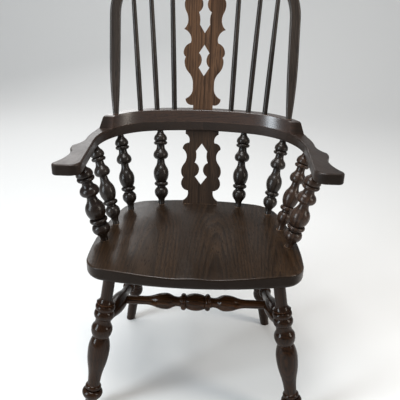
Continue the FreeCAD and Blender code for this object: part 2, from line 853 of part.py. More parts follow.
class ArmPlan:
    """Plan of the right arm: inner and outer curves that the crest and the spindles share."""

    def __init__(self):
        self.inner_back = size("arm_back_radius")
        self.outer_back = self.inner_back + size("arm_width")
        self.shoulder = size("arm_shoulder_radius")
        self.back = Vector(0, size("arm_inner_back") - self.inner_back, 0)
        side = size("arm_inner_half_width")
        centre_x = side - self.shoulder
        rise = math.sqrt((self.inner_back - self.shoulder) ** 2 - centre_x ** 2)
        self.inner_centre = Vector(centre_x, self.back.y + rise, 0)
        self.inner_middle = Vector(0, size("arm_inner_back"), 0)
        self.inner_turn = towards(self.back, self.inner_centre, self.inner_back)
        self.inner_side = Vector(side, self.inner_centre.y, 0)
        self.outer_neck = Vector(size("elbow_neck_side"), size("elbow_neck"), 0)
        reach = self.outer_neck.y - self.back.y
        spare = self.outer_back ** 2 - self.outer_neck.x ** 2 - reach ** 2
        self.outer_shoulder = spare / (2 * (self.outer_back - self.outer_neck.x))
        self.outer_centre = Vector(self.outer_neck.x - self.outer_shoulder, self.outer_neck.y, 0)
        self.outer_turn = towards(self.back, self.outer_centre, self.outer_back)
        self.outer_middle = Vector(0, self.back.y + self.outer_back, 0)

    def track(self, offset):
        """The inner edge from the hand to the middle, moved outwards."""
        step = Vector(offset, 0, 0)
        hand = Vector(self.inner_side.x, -size("hand_front"), 0)
        return [
            Part.makeLine(hand + step, self.inner_side + step),
            arc_between(self.inner_centre, self.shoulder + offset, self.inner_side, self.inner_turn),
            arc_between(self.back, self.inner_back + offset, self.inner_turn, self.inner_middle),
        ]


def arm_outline(plan):
    """Corner points and links of the right arm's plan, from the middle round the hand and back."""
    front = -size("hand_front")
    corner = size("hand_inner_corner_radius")
    side = plan.inner_side.x
    tip_radius = size("hand_tip_radius")
    tip = Vector(size("hand_tip_centre_side"), front + tip_radius, 0)
    waist = Vector(size("hand_waist_side"), -size("hand_waist"), 0)
    gap = tip - waist
    waist_radius = (gap.x ** 2 + gap.y ** 2 - tip_radius ** 2) / (2 * (gap.x + tip_radius))
    waist_centre = waist + Vector(waist_radius, 0, 0)
    elbow = Vector(size("elbow_back_side"), size("elbow_back"), 0)
    gap = elbow - plan.outer_neck
    flare_radius = (gap.x ** 2 + gap.y ** 2) / (2 * gap.x)
    add_size("arm_outer_back_radius", plan.outer_back)
    add_size("arm_outer_shoulder_radius", plan.outer_shoulder)
    add_size("hand_waist_radius", waist_radius)
    add_size("elbow_flare_radius", flare_radius)
    chain = [
        ("inner_middle", plan.inner_middle, ("arm_back_radius", -1)),
        ("inner_turn", plan.inner_turn, ("arm_shoulder_radius", -1)),
        ("inner_side", plan.inner_side, None),
        ("hand_corner", Vector(side, front + corner, 0), ("hand_inner_corner_radius", 1)),
        ("hand_front", Vector(side + corner, front, 0), None),
        ("hand_tip_start", Vector(tip.x, front, 0), ("hand_tip_radius", 1)),
        ("hand_tip_end", towards(tip, waist_centre, tip_radius), ("hand_waist_radius", -1)),
        ("hand_waist", waist, None),
        ("elbow_start", Vector(size("elbow_front_side"), -size("elbow_front"), 0), ("elbow_radius", 1)),
        ("elbow_end", elbow, ("elbow_flare_radius", -1)),
        ("outer_neck", plan.outer_neck, ("arm_outer_shoulder_radius", 1)),
        ("outer_turn", plan.outer_turn, ("arm_outer_back_radius", 1)),
        ("outer_middle", plan.outer_middle, None),
    ]
    points = [name_point("arm_" + name, point) for name, point, _ in chain]
    links = [arc for _, _, arc in chain]
    return points, links


def make_arms(outline, cutters):
    """Both arms: a plank of the arm's plan with rounded edges, and sockets from below."""
    points, arcs = outline
    links = ["line" if arc is None else ("radius", cell(arc[0]), arc[1]) for arc in arcs]
    body = new_body("arm_plank")
    underside = "%s - %s" % (cell("arm_top"), cell("arm_thickness"))
    sketch = new_sketch(body, "arm_outline", "XY_Plane", underside)
    add_loop(sketch, points, links)
    last = pad_up(body, sketch, "arm_pad", cell("arm_thickness"))
    top = size("arm_top")
    edges = level_edges(last.Shape, top)
    last = round_edges(body, last, "arm_top_round", edges, cell("arm_top_rounding"))
    edges = level_edges(last.Shape, top - size("arm_thickness"))
    round_edges(body, last, "arm_under_round", edges, cell("arm_under_rounding"))
    return keep_pair(cut_away("arm_right", body, cutters), "arm")


def crest_outline(plan, name, front_offset, back_offset, end):
    """Points and links of the crest's plan at one level, with its ends cut square to the depth."""
    middle = Vector(0, end, 0)
    far = Vector(plan.outer_back, end, 0)
    inner = plan.track(front_offset)
    shoulder = plan.outer_shoulder - back_offset
    outer = arc_between(plan.outer_centre, shoulder, plan.outer_neck, plan.outer_turn)
    back = plan.outer_back - back_offset
    add_size(name + "_inner_shoulder", plan.shoulder + front_offset)
    add_size(name + "_inner_back", plan.inner_back + front_offset)
    add_size(name + "_outer_shoulder", shoulder)
    add_size(name + "_outer_back", back)
    inner_turn = towards(plan.back, plan.inner_centre, plan.inner_back + front_offset)
    outer_turn = towards(plan.back, plan.outer_centre, back)
    right = [
        name_point(name + "_inner_turn", inner_turn),
        name_point(name + "_inner_end", meet(inner, middle, far)),
        name_point(name + "_outer_end", meet([outer], middle, far)),
        name_point(name + "_outer_turn", outer_turn),
    ]
    points = right + [mirrored(point) for point in reversed(right)]
    inner_arc = ("radius", cell(name + "_inner_shoulder"), -1)
    outer_arc = ("radius", cell(name + "_outer_shoulder"), 1)
    links = [
        inner_arc,
        "line",
        outer_arc,
        ("radius", cell(name + "_outer_back"), 1),
        outer_arc,
        "line",
        inner_arc,
        ("radius", cell(name + "_inner_back"), -1),
    ]
    return points, links


def crest_outlines(plan):
    """Plans of the crest at its lower and at its upper face."""
    front = size("crest_front_setback")
    back = size("crest_back_setback")
    end = size("crest_end")
    low = crest_outline(plan, "crest_low", front, back, end)
    front += size("crest_front_lean")
    back += size("crest_back_lean")
    end += size("crest_ramp")
    return low, crest_outline(plan, "crest_high", front, back, end)


def make_crest(outlines, cutters):
    """The crest rail: a curved block lofted between two plans, so all its faces lean inwards."""
    body = new_body("crest_outlines")
    low = new_sketch(body, "crest_low_outline", "XY_Plane", cell("arm_top"))
    add_loop(low, *outlines[0])
    high = new_sketch(body, "crest_high_outline", "XY_Plane", "%s + %s" % (cell("arm_top"), cell("crest_height")))
    add_loop(high, *outlines[1])
    loft = doc.addObject("Part::Loft", "crest_loft")
    loft.Sections = [low, high]
    loft.Solid = True
    loft.Ruled = True
    doc.recompute()
    top = size("arm_top") + size("crest_height")
    eased = ease_edges("crest_eased", loft, level_edges(loft.Shape, top), size("crest_rounding"))
    return keep(cut_away("arm_crest", eased, cutters))


class Hoop:
    """The leaning plane of the back bow and the curves that lie in it."""

    def __init__(self, plan):
        track = plan.track(size("crest_middle"))
        far = plan.inner_centre + direction(size("hoop_base_bearing")) * plan.outer_back
        base = meet(track, plan.inner_centre, far)
        self.base_side = base.x
        self.height = size("arm_top") + size("crest_height")
        self.origin = Vector(0, base.y, self.height)
        lean = math.radians(size("hoop_lean"))
        self.up = Vector(0, math.sin(lean), math.cos(lean))
        self.width = size("hoop_width")
        self.spring = size("hoop_leg")
        self.shoulder = size("hoop_shoulder_radius")
        half = size("hoop_half_width")
        rise = size("hoop_rise")
        spare = half ** 2 + rise ** 2 - 2 * half * self.shoulder
        self.crown = spare / (2 * (rise - self.shoulder))
        self.shoulder_centre = Vector(half - self.shoulder, self.spring, 0)
        self.crown_centre = Vector(0, self.spring + rise - self.crown, 0)
        self.turn_outer = towards(self.crown_centre, self.shoulder_centre, self.crown)
        self.turn_inner = towards(self.crown_centre, self.shoulder_centre, self.crown - self.width)
        self.turn_texts = (
            name_point("hoop_outer_turn", self.turn_outer),
            name_point("hoop_inner_turn", self.turn_inner),
        )
        add_size("hoop_base_side", self.base_side)
        add_size("hoop_crown_radius", self.crown)
        add_size("hoop_crown_inner_radius", self.crown - self.width)
        add_size("hoop_shoulder_inner_radius", self.shoulder - self.width)

    def place(self, flat):
        """World position of a point of the plane."""
        return self.origin + Vector(1, 0, 0) * flat.x + self.up * flat.y

    def placement(self):
        lean = -size("hoop_lean")
        return FreeCAD.Placement(self.origin, FreeCAD.Rotation(Vector(1, 0, 0), lean))

    def inner_top(self):
        """Lower side of the bow in the middle plane."""
        return self.place(Vector(0, self.spring + size("hoop_rise") - self.width, 0))

    def inner_point(self, bearing):
        """Point of the inner edge at a bearing from the middle of the springing line."""
        centre = Vector(0, self.spring, 0)
        side = Vector(size("hoop_half_width") - self.width, self.spring, 0)
        top = Vector(0, self.spring + size("hoop_rise") - self.width, 0)
        track = [
            arc_between(self.shoulder_centre, self.shoulder - self.width, side, self.turn_inner),
            arc_between(self.crown_centre, self.crown - self.width, self.turn_inner, top),
        ]
        return self.place(meet(track, centre, centre + direction(bearing) * self.crown))


def hoop_blank(hoop):
    """The bent bow: an arch of even width whose legs taper in width and thickness at the base."""
    half = cell("hoop_half_width")
    inner_half = "%s - %s" % (half, cell("hoop_width"))
    base = cell("hoop_base_side")
    base_half = "%s / 2" % cell("hoop_base_width")
    low = "-1 * %s / 2" % cell("hoop_base_width")
    taper = cell("hoop_taper")
    spring = cell("hoop_leg")
    outer = [
        ("%s + %s" % (base, base_half), low),
        (half, taper),
        (half, spring),
        hoop.turn_texts[0],
    ]
    inner = [
        hoop.turn_texts[1],
        (inner_half, spring),
        (inner_half, taper),
        ("%s - %s" % (base, base_half), low),
    ]
    points = outer + [mirrored(point) for point in reversed(outer)]
    points += [mirrored(point) for point in reversed(inner)] + inner
    leg = [("level", taper), "line"]
    outer_shoulder = ("radius", cell("hoop_shoulder_radius"), 1)
    inner_shoulder = ("radius", cell("hoop_shoulder_inner_radius"), -1)
    links = leg + [outer_shoulder, ("radius", cell("hoop_crown_radius"), 1), outer_shoulder] + leg[::-1]
    links += ["line"] + leg + [inner_shoulder, ("radius", cell("hoop_crown_inner_radius"), -1)]
    links += [inner_shoulder] + leg[::-1] + ["line"]
    body = new_body("back_bow_arch")
    sketch = new_sketch(body, "hoop_outline", "XZ_Plane")
    add_loop(sketch, points, links)
    pad = body.newObject("PartDesign::Pad", "hoop_pad")
    pad.Profile = sketch
    pad.SideType = "Symmetric"
    pad.setExpression("Length", cell("hoop_thickness"))
    doc.recompute()
    wedges = new_sketch(body, "hoop_taper_outline", "YZ_Plane")
    for side in (1, -1):
        outside = "%d * %s" % (side, cell("hoop_thickness"))
        face = "%d * %s / 2" % (side, cell("hoop_thickness"))
        thin = "%d * %s / 2" % (side, cell("hoop_base_thickness"))
        corners = [(outside, low), (thin, low), (face, taper), (outside, taper)]
        add_loop(wedges, corners, ["line", ("level", taper), "line", "line"])
    pocket = body.newObject("PartDesign::Pocket", "hoop_taper_cut")
    pocket.Profile = wedges
    pocket.SideType = "Symmetric"
    pocket.setExpression("Length", "3 * %s" % half)
    doc.recompute()
    rounded = []
    for index, edge in enumerate(pocket.Shape.Edges):
        box = edge.BoundBox
        if box.ZMin > -size("hoop_base_width") / 2 - 0.01 and box.ZLength + box.XLength > box.YLength + 12:
            if box.ZLength > 3 or box.XLength > 40:
                rounded.append("Edge%d" % (index + 1))
    round_edges(body, pocket, "hoop_round", rounded, cell("hoop_rounding"))
    body.Placement = hoop.placement()
    return body


def hoop_tenon(name, hoop, side, clearance):
    """Round tenon at the foot of the bow, or the cutter of its hole with the clearance added."""
    tenon = doc.addObject("Part::Cylinder", name)
    wide = cell("socket_clearance") if clearance else "0"
    deep = cell("socket_end_gap") if clearance else "0"
    radius = "%s / 2 + %s" % (cell("hoop_tenon_diameter"), wide)
    tenon.setExpression("Radius", radius)
    tenon.setExpression("Height", "%s + %s + %s" % (cell("hoop_tenon"), deep, cell("hoop_tenon_diameter")))
    start = hoop.place(Vector(side * hoop.base_side, size("hoop_tenon_diameter"), 0))
    tenon.Placement = placed(start, start - hoop.up)
    return tenon


def make_hoop(hoop, cutters):
    """The bow, cut level at its foot, with two tenons and every socket in its inner edge."""
    arch = cut_away("back_bow_level", hoop_blank(hoop), [slab_below("crest_top_slab", hoop.height)])
    whole = doc.addObject("Part::MultiFuse", "back_bow_tenoned")
    tenons = [hoop_tenon("hoop_tenon_%s" % key, hoop, side, False) for key, side in SIDES]
    whole.Shapes = [arch] + tenons
    return keep(cut_away("back_bow", whole, cutters))


class Board:
    """A splat on the line between its foot and its top, with straight ends let into mortises."""

    def __init__(self, label, start, end, start_reach, end_reach):
        self.label = label
        self.start = start
        self.end = end
        self.start_reach = start_reach
        self.end_reach = end_reach
        self.length = (end - start).Length
        add_size(label + "_stretch", self.length / pattern_length(label))
        self.stretch = cell(label + "_stretch")

    def placement(self):
        step = self.end - self.start
        lean = -math.degrees(math.atan2(step.y, step.z))
        return FreeCAD.Placement(self.start, FreeCAD.Rotation(Vector(1, 0, 0), lean))

    def make(self, holes):
        """The pierced board: its outline with the holes in one sketch, padded both ways."""
        points, links = pattern_points(self.label, self.stretch)
        low = (points[0][0], "-1 * %s" % self.start_reach)
        high = (points[-1][0], "%s + %s" % (points[-1][1], self.end_reach))
        right = [low] + points + [high]
        right_links = ["line"] + links + ["line"]
        outline = right + [mirrored(point) for point in reversed(right)]
        body = new_body(self.label)
        sketch = new_sketch(body, self.label + "_outline", "XZ_Plane")
        add_loop(sketch, outline, right_links + ["line"] + right_links[::-1] + ["line"])
        for pattern in holes:
            points, links = pattern_points(pattern, self.stretch)
            points += [mirrored(point) for point in points[-2:0:-1]]
            add_loop(sketch, points, links + links[::-1])
        pad = body.newObject("PartDesign::Pad", self.label + "_pad")
        pad.Profile = sketch
        pad.SideType = "Symmetric"
        pad.setExpression("Length", cell("splat_thickness"))
        body.Placement = self.placement()
        return keep(body)

    def mortise(self, name, at_end):
        """A cutter for the mortise that holds one end of the board."""
        station = PATTERNS[self.label][-1 if at_end else 0][0]
        reach = self.end_reach if at_end else self.start_reach
        tool = doc.addObject("Part::Box", name)
        wide = "%s + 2 * %s" % (cell("%s_%s_width" % (self.label, station)), cell("socket_clearance"))
        thick = "%s + 2 * %s" % (cell("splat_thickness"), cell("socket_clearance"))
        tool.setExpression("Length", wide)
        tool.setExpression("Width", thick)
        deep = "%s + %s" % (reach, cell("socket_end_gap"))
        tool.setExpression("Height", "%s + %s" % (deep, cell("splat_entry")))
        half = Vector(-number_of(wide) / 2, -number_of(thick) / 2, 0)
        if at_end:
            offset = half + Vector(0, 0, self.length - size("splat_entry"))
        else:
            offset = half - Vector(0, 0, number_of(deep))
        tool.Placement = self.placement() * FreeCAD.Placement(offset, FreeCAD.Rotation())
        return tool


fill_sheet()
seat_plan = SeatPlan()
arm_plan = ArmPlan()
arm_points = arm_outline(arm_plan)
crest_plans = crest_outlines(arm_plan)
hoop = Hoop(arm_plan)
seat_top = size("seat_height")
seat_under = seat_top - size("seat_thickness")
arm_under = size("arm_top") - size("arm_thickness")
crest_top = size("arm_top") + size("crest_height")

seat_cutters = []
arm_cutters = []
crest_cutters = []
hoop_cutters = []

# Legs and side stretchers are drawn on the right and mirrored to the left.
floor = slab_below("floor_slab", 0.0)
legs = {}
joints = {}
for row, forward in (("front", -1), ("rear", 1)):
    name = "leg_" + row
    foot = Vector(size(name + "_foot_side"), forward * size(name + "_foot"), 0)
    top = Vector(size(name + "_top_side"), forward * size(name + "_top"), seat_under)
    leg = Member(name, name, foot, top, cell("foot_allowance"), cell("leg_tenon"))
    legs[row] = leg
    joints[row] = leg.point(leg.length * size("stretcher_%s_height" % row) / seat_under)
    for key, side in SIDES:
        seat_cutters.append(leg.socket("%s_%s_hole" % (name, key), True, side))

widths = {"front": "leg_front_ball_width", "rear": "leg_rear_bulb_width"}
reaches = {row: "%s / 2 - %s" % (cell(widths[row]), cell("stretcher_stop")) for row in widths}
front_end = towards(joints["front"], joints["rear"], size(widths["front"]) / 2)
rear_end = towards(joints["rear"], joints["front"], size(widths["rear"]) / 2)
stretcher = Member("side_stretcher", "side_stretcher", front_end, rear_end, reaches["front"], reaches["rear"])
for row, at_end in (("front", False), ("rear", True)):
    name = "leg_" + row
    hole = stretcher.socket(name + "_stretcher_hole", at_end)
    keep_pair(cut_away(name + "_right", legs[row].turn(name + "_turning"), [floor, hole]), name)

half_vase = size("side_stretcher_vase_width") / 2
joint = stretcher.point(size("cross_stretcher_place"))
joint_end = towards(joint, flip(joint, -1), half_vase)
reach = "%s / 2 - %s" % (cell("side_stretcher_vase_width"), cell("stretcher_stop"))
cross = Member("cross_stretcher", "cross_stretcher", flip(joint_end, -1), joint_end, reach, reach)
hole = cross.socket("cross_stretcher_hole", True)
turning = stretcher.turn("side_stretcher_turning")
keep_pair(cut_away("side_stretcher_right", turning, [hole]), "side_stretcher")
keep(cross.turn("cross_stretcher"))

# Arm spindles stand in the seat and carry the arms.
seat_track = seat_plan.track(size("arm_spindle_seat_inset"))
arm_track = arm_plan.track(size("arm_spindle_setback"))
far = size("arm_back_radius")
for number in ARM_SPINDLES:
    name = "arm_spindle_" + number
    pattern = "front_arm_spindle" if number == "1" else "arm_spindle"
    foot = meet(seat_track, Vector(), direction(size(name + "_foot_bearing")) * far)
    top = meet(arm_track, Vector(), direction(size(name + "_top_bearing")) * far)
    tenons = (cell("arm_spindle_seat_tenon"), cell("arm_spindle_arm_tenon"))
    spindle = Member(name, pattern, lifted(foot, seat_top), lifted(top, arm_under), *tenons)
    for key, side in SIDES:
        seat_cutters.append(spindle.socket("%s_seat_hole_%s" % (name, key), False, side))
    arm_cutters.append(spindle.socket(name + "_arm_hole", True))
    keep_pair(spindle.turn("arm_spindle_right_" + number), "arm_spindle", "_" + number)

# Back spindles stand on the crest and end in the bow.
crest_track = arm_plan.track(size("crest_middle"))
for number in BACK_SPINDLES:
    name = "back_spindle_" + number
    place = size(name + "_place")
    foot = meet(crest_track, Vector(place, 0, 0), Vector(place, far, 0))
    top = hoop.inner_point(size(name + "_top_bearing"))
    tenons = (cell("back_spindle_crest_tenon"), cell("back_spindle_hoop_tenon"))
    spindle = Member(name, "back_spindle", lifted(foot, crest_top), top, *tenons)
    for key, side in SIDES:
        crest_cutters.append(spindle.socket("%s_crest_hole_%s" % (name, key), False, side))
        hoop_cutters.append(spindle.socket("%s_hoop_hole_%s" % (name, key), True, side))
    keep_pair(spindle.turn("back_spindle_right_" + number), "back_spindle", "_" + number)

# Splats.
lower_foot = Vector(0, size("seat_back") - size("splat_lower_inset"), seat_top)
lower_top = Vector(0, size("arm_inner_back") + size("arm_width") / 2, arm_under)
lower = Board("lower_splat", lower_foot, lower_top, cell("splat_seat_tenon"), cell("splat_arm_tenon"))
lower.make(["lower_hole"])
seat_cutters.append(lower.mortise("lower_splat_seat_mortise", False))
arm_mortise = lower.mortise("lower_splat_arm_mortise", True)

upper_foot = Vector(0, size("arm_inner_back") + size("crest_middle"), crest_top)
upper = Board("upper_splat", upper_foot, hoop.inner_top(), cell("splat_crest_tenon"), cell("splat_hoop_tenon"))
upper.make(["middle_hole", "upper_hole"])
crest_cutters.append(upper.mortise("upper_splat_crest_mortise", False))
hoop_cutters.append(upper.mortise("upper_splat_hoop_mortise", True))

# Screws from below hold the crest on the arms.
screws = []
screw_track = arm_plan.track(size("arm_width") / 2)
for number in SCREWS:
    place = size("screw_%s_place" % number)
    spot = meet(screw_track, Vector(place, 0, 0), Vector(place, far, 0))
    for key, side in SIDES:
        label = "crest_screw_%s_%s" % (key, number)
        base = flip(lifted(spot, arm_under + size("screw_recess")), side)
        screws.append(make_screw(label, base))
        tools = screw_hole(label, base)
        crest_cutters.append(tools[-1])
        if side > 0:
            arm_cutters += tools

group = doc.addObject("Part::Compound", "crest_screws")
group.Label = "crest_screws"
group.Links = screws
keep(group)

for key, side in SIDES:
    crest_cutters.append(hoop_tenon("hoop_tenon_hole_%s" % key, hoop, side, True))

make_seat(seat_plan, seat_cutters)
make_arms(arm_points, arm_cutters + [arm_mortise])
make_crest(crest_plans, crest_cutters)
make_hoop(hoop, hoop_cutters)

# The frame's origin lies on the floor below the middle of the whole chair, so every piece moves there.
doc.recompute()
boxes = [part.Shape.optimalBoundingBox(False) for part in subparts]
foremost = min(box.YMin for box in boxes)
hindmost = max(box.YMax for box in boxes)
for part in subparts:
    if part.TypeId != "Part::Mirroring":
        part.Placement.Base -= Vector(0, (foremost + hindmost) / 2, 0)

doc.recompute()
problems = []
for item in doc.Objects:
    if "Invalid" in item.State or "Error" in item.State:
        problems.append("%s %s" % (item.Name, item.State))
for part in subparts:
    if part.Shape.isNull() or not part.Shape.isValid() or part.Shape.Volume < 1:
        problems.append("%s has no valid shape" % part.Label)
if problems:
    raise RuntimeError("; ".join(problems))

os.makedirs("parts", exist_ok=True)
for part in subparts:
    part.Shape.exportStep("parts/%s.step" % part.Label)
print("%d sub-parts" % len(subparts))
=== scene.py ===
# %% [markdown]
# # A dark oak captain's chair
# The chair has a dished plank seat, four turned legs tied by turned stretchers, eight turned
# spindles that carry two flat bent arms, a raised crest and a hooped back with a pierced splat.
# Its wooden parts come from the packed model, in metres, with the floor at Z = 0 and the sitter
# facing -Y. This lesson sets up a camera and studio lights, stains and polishes the oak, and
# shapes the arms and the crest again with softer edges.

import math

import bmesh
import bpy
import numpy as np
from mathutils import Matrix, Vector


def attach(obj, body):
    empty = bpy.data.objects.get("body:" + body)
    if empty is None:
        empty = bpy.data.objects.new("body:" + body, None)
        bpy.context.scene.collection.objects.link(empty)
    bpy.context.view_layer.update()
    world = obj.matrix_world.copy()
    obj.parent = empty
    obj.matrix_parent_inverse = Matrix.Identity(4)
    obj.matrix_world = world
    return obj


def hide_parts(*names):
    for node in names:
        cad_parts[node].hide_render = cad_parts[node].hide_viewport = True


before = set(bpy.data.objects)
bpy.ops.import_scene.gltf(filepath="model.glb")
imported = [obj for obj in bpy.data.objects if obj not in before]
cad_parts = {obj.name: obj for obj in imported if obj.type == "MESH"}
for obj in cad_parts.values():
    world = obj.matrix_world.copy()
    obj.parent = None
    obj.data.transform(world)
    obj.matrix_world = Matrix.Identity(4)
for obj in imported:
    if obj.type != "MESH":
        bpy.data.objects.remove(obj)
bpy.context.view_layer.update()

# %% [markdown]
# ## Where each piece runs
# Wood grain follows the length of a stick. The real turner picks straight-grained oak, so every
# leg and spindle shows lines from end to end. To lay a pattern that way we need each stick's
# two ends. We could type them in, but the mesh already knows: the points near each end of its
# longest side, averaged, give the ends of its axis.

# %% Find the ends of a stick
END_SHARE = 0.01


def ends_of(name):
    """The middle of the lowest and of the highest end of a node, along its longest side."""
    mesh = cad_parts[name].data
    points = np.empty(len(mesh.vertices) * 3)
    mesh.vertices.foreach_get("co", points)
    points = points.reshape(-1, 3)
    span = points.max(axis=0) - points.min(axis=0)
    along = int(np.argmax(span))
    margin = END_SHARE * span[along]
    low = points[points[:, along] < points[:, along].min() + margin]
    high = points[points[:, along] > points[:, along].max() - margin]
    return [Vector((ends.min(axis=0) + ends.max(axis=0)) / 2) for ends in (low, high)]


for stick in ("leg_front_left", "cross_stretcher", "arm_spindle_left_1"):
    start, end = ends_of(stick)
    print(stick, "runs", round((end - start).length * 1000), "mm")

# %% [markdown]
# ## The camera
# The photograph looks down at the chair from standing height, a little to its right. Matching a
# photograph means finding four things: where the eye was, which way it looked, how far it was
# rolled and how long the lens was. The lens length was chosen. The rest was solved from
# the seat, arms, bow and legs, with some sizes of the chair assumed. The camera's own axes are
# built from turn, tilt and roll, and set as the columns of its matrix.

# %% Place the camera
PHOTO_PIXELS = 400
FOCAL_PIXELS = 590
RAISED_PIXELS = 6.5
SENSOR_MM = 36
EYE = Vector((0.0447, -1.4421, 1.1948))
turn, tilt, roll = (math.radians(angle) for angle in (1.612, 25.887, 1.323))

level_forward = Vector((-math.sin(turn), math.cos(turn), 0))
level_right = Vector((math.cos(turn), math.sin(turn), 0))
forward = level_forward * math.cos(tilt) - Vector((0, 0, 1)) * math.sin(tilt)
upward = level_forward * math.sin(tilt) + Vector((0, 0, 1)) * math.cos(tilt)
right = level_right * math.cos(roll) + upward * math.sin(roll)
upward = upward * math.cos(roll) - level_right * math.sin(roll)
axes = Matrix((right, upward, -forward)).transposed()

camera_data = bpy.data.cameras.new("photo_camera")
camera = bpy.data.objects.new("photo_camera", camera_data)
bpy.context.scene.collection.objects.link(camera)
camera.matrix_world = Matrix.Translation(EYE) @ axes.to_4x4()
camera_data.sensor_width = SENSOR_MM
camera_data.lens = FOCAL_PIXELS / PHOTO_PIXELS * SENSOR_MM
camera_data.shift_y = RAISED_PIXELS / PHOTO_PIXELS
camera_data.clip_start = 0.05
bpy.context.scene.camera = camera
print("lens in mm:", round(camera_data.lens, 1))

# %% [markdown]
# ## Stage and light
# A studio sweep has no corner: it lies flat under the chair and curves up behind it, so the
# background stays even.
# Dark polished wood shows light mostly as reflections, so the lamps are large soft panels, which
# draw long highlights on the turnings. The tall cool panel at the left and the warmer one at the
# right give each turning a light and a dark side. The pale background comes from the sweep's own
# colour, never from more light on the chair.

# %% Build the sweep
SWEEP_START = -3.5
SWEEP_LENGTH = 9.0
SWEEP_HALF_WIDTH = 9
FLOOR_LENGTH = 6.0
BEND_RADIUS = 1.6


def link(name, mesh):
    """Puts a mesh in the scene as an object at the origin."""
    thing = bpy.data.objects.new(name, mesh)
    bpy.context.scene.collection.objects.link(thing)
    return thing


sweep_mesh = bpy.data.meshes.new("sweep")
shape = bmesh.new()
bmesh.ops.create_grid(shape, x_segments=1, y_segments=40, size=1)
for vert in shape.verts:
    run = (vert.co.y + 1) / 2 * SWEEP_LENGTH
    bend = min(max(run - FLOOR_LENGTH, 0) / BEND_RADIUS, math.pi / 2)
    climb = max(run - FLOOR_LENGTH - BEND_RADIUS * math.pi / 2, 0)
    vert.co.x *= SWEEP_HALF_WIDTH
    vert.co.y = SWEEP_START + min(run, FLOOR_LENGTH) + BEND_RADIUS * math.sin(bend)
    vert.co.z = BEND_RADIUS * (1 - math.cos(bend)) + climb
shape.to_mesh(sweep_mesh)
shape.free()
for polygon in sweep_mesh.polygons:
    polygon.use_smooth = True
sweep = link("sweep", sweep_mesh)

paper = bpy.data.materials.new("white_paper")
paper.use_nodes = True
paper_surface = paper.node_tree.nodes["Principled BSDF"]
paper_surface.inputs["Base Color"].default_value = (0.79, 0.79, 0.78, 1)
paper_surface.inputs["Roughness"].default_value = 0.9
sweep_mesh.materials.append(paper)
print("sweep has", len(sweep_mesh.polygons), "strips")

# %% Hang the lamps
def panel(name, place, aim, width, height, power, color=(1, 1, 1)):
    """A soft rectangular lamp that shines from a place towards an aim point."""
    lamp = bpy.data.lights.new(name, "AREA")
    lamp.shape = "RECTANGLE"
    lamp.size = width
    lamp.size_y = height
    lamp.energy = power
    lamp.color = color
    holder = bpy.data.objects.new(name, lamp)
    holder.location = place
    holder.rotation_euler = (Vector(aim) - Vector(place)).to_track_quat("-Z", "Y").to_euler()
    bpy.context.scene.collection.objects.link(holder)
    print(name, "gives", power, "W")


panel("left_panel", (-2.1, -1.4, 1.35), (0, 0, 0.6), 0.8, 2.0, 66, (0.84, 0.93, 1.0))
panel("right_panel", (2.5, -1.1, 1.7), (0, 0, 0.6), 0.7, 1.8, 38, (1.0, 0.92, 0.82))
panel("top_panel", (-0.3, -0.2, 3.1), (0, 0, 0.5), 1.4, 1.0, 66)
panel("rear_panel", (-1.15, 2.5, 1.75), (0, 0, 0.7), 1.5, 1.1, 17)

world = bpy.data.worlds.new("studio")
bpy.context.scene.world = world
world.use_nodes = True
sky = world.node_tree.nodes["Background"]
sky.inputs["Color"].default_value = (0.95, 0.97, 1, 1)
sky.inputs["Strength"].default_value = 0.3
bpy.context.scene.view_settings.view_transform = "Standard"

# %% [markdown]
# ## Wiring by words
# A material is a net of nodes, and adding each one by hand takes several lines. A small class
# with one word for each kind of node keeps the recipes short enough to read: each word adds a
# node, feeds its sockets and gives back its result. Effects that many materials share go into
# node groups, which are built once and used with other values in each place.

# %% Helpers for nodes
def new_group(name, inputs, outputs):
    """An empty shader group with named sockets, and its input and output nodes."""
    group = bpy.data.node_groups.new(name, "ShaderNodeTree")
    for label, kind, value in inputs:
        socket = group.interface.new_socket(label, in_out="INPUT", socket_type=kind)
        if value is not None:
            socket.default_value = value
    for label in outputs:
        group.interface.new_socket(label, in_out="OUTPUT", socket_type="NodeSocketFloat")
    return group, group.nodes.new("NodeGroupInput"), group.nodes.new("NodeGroupOutput")


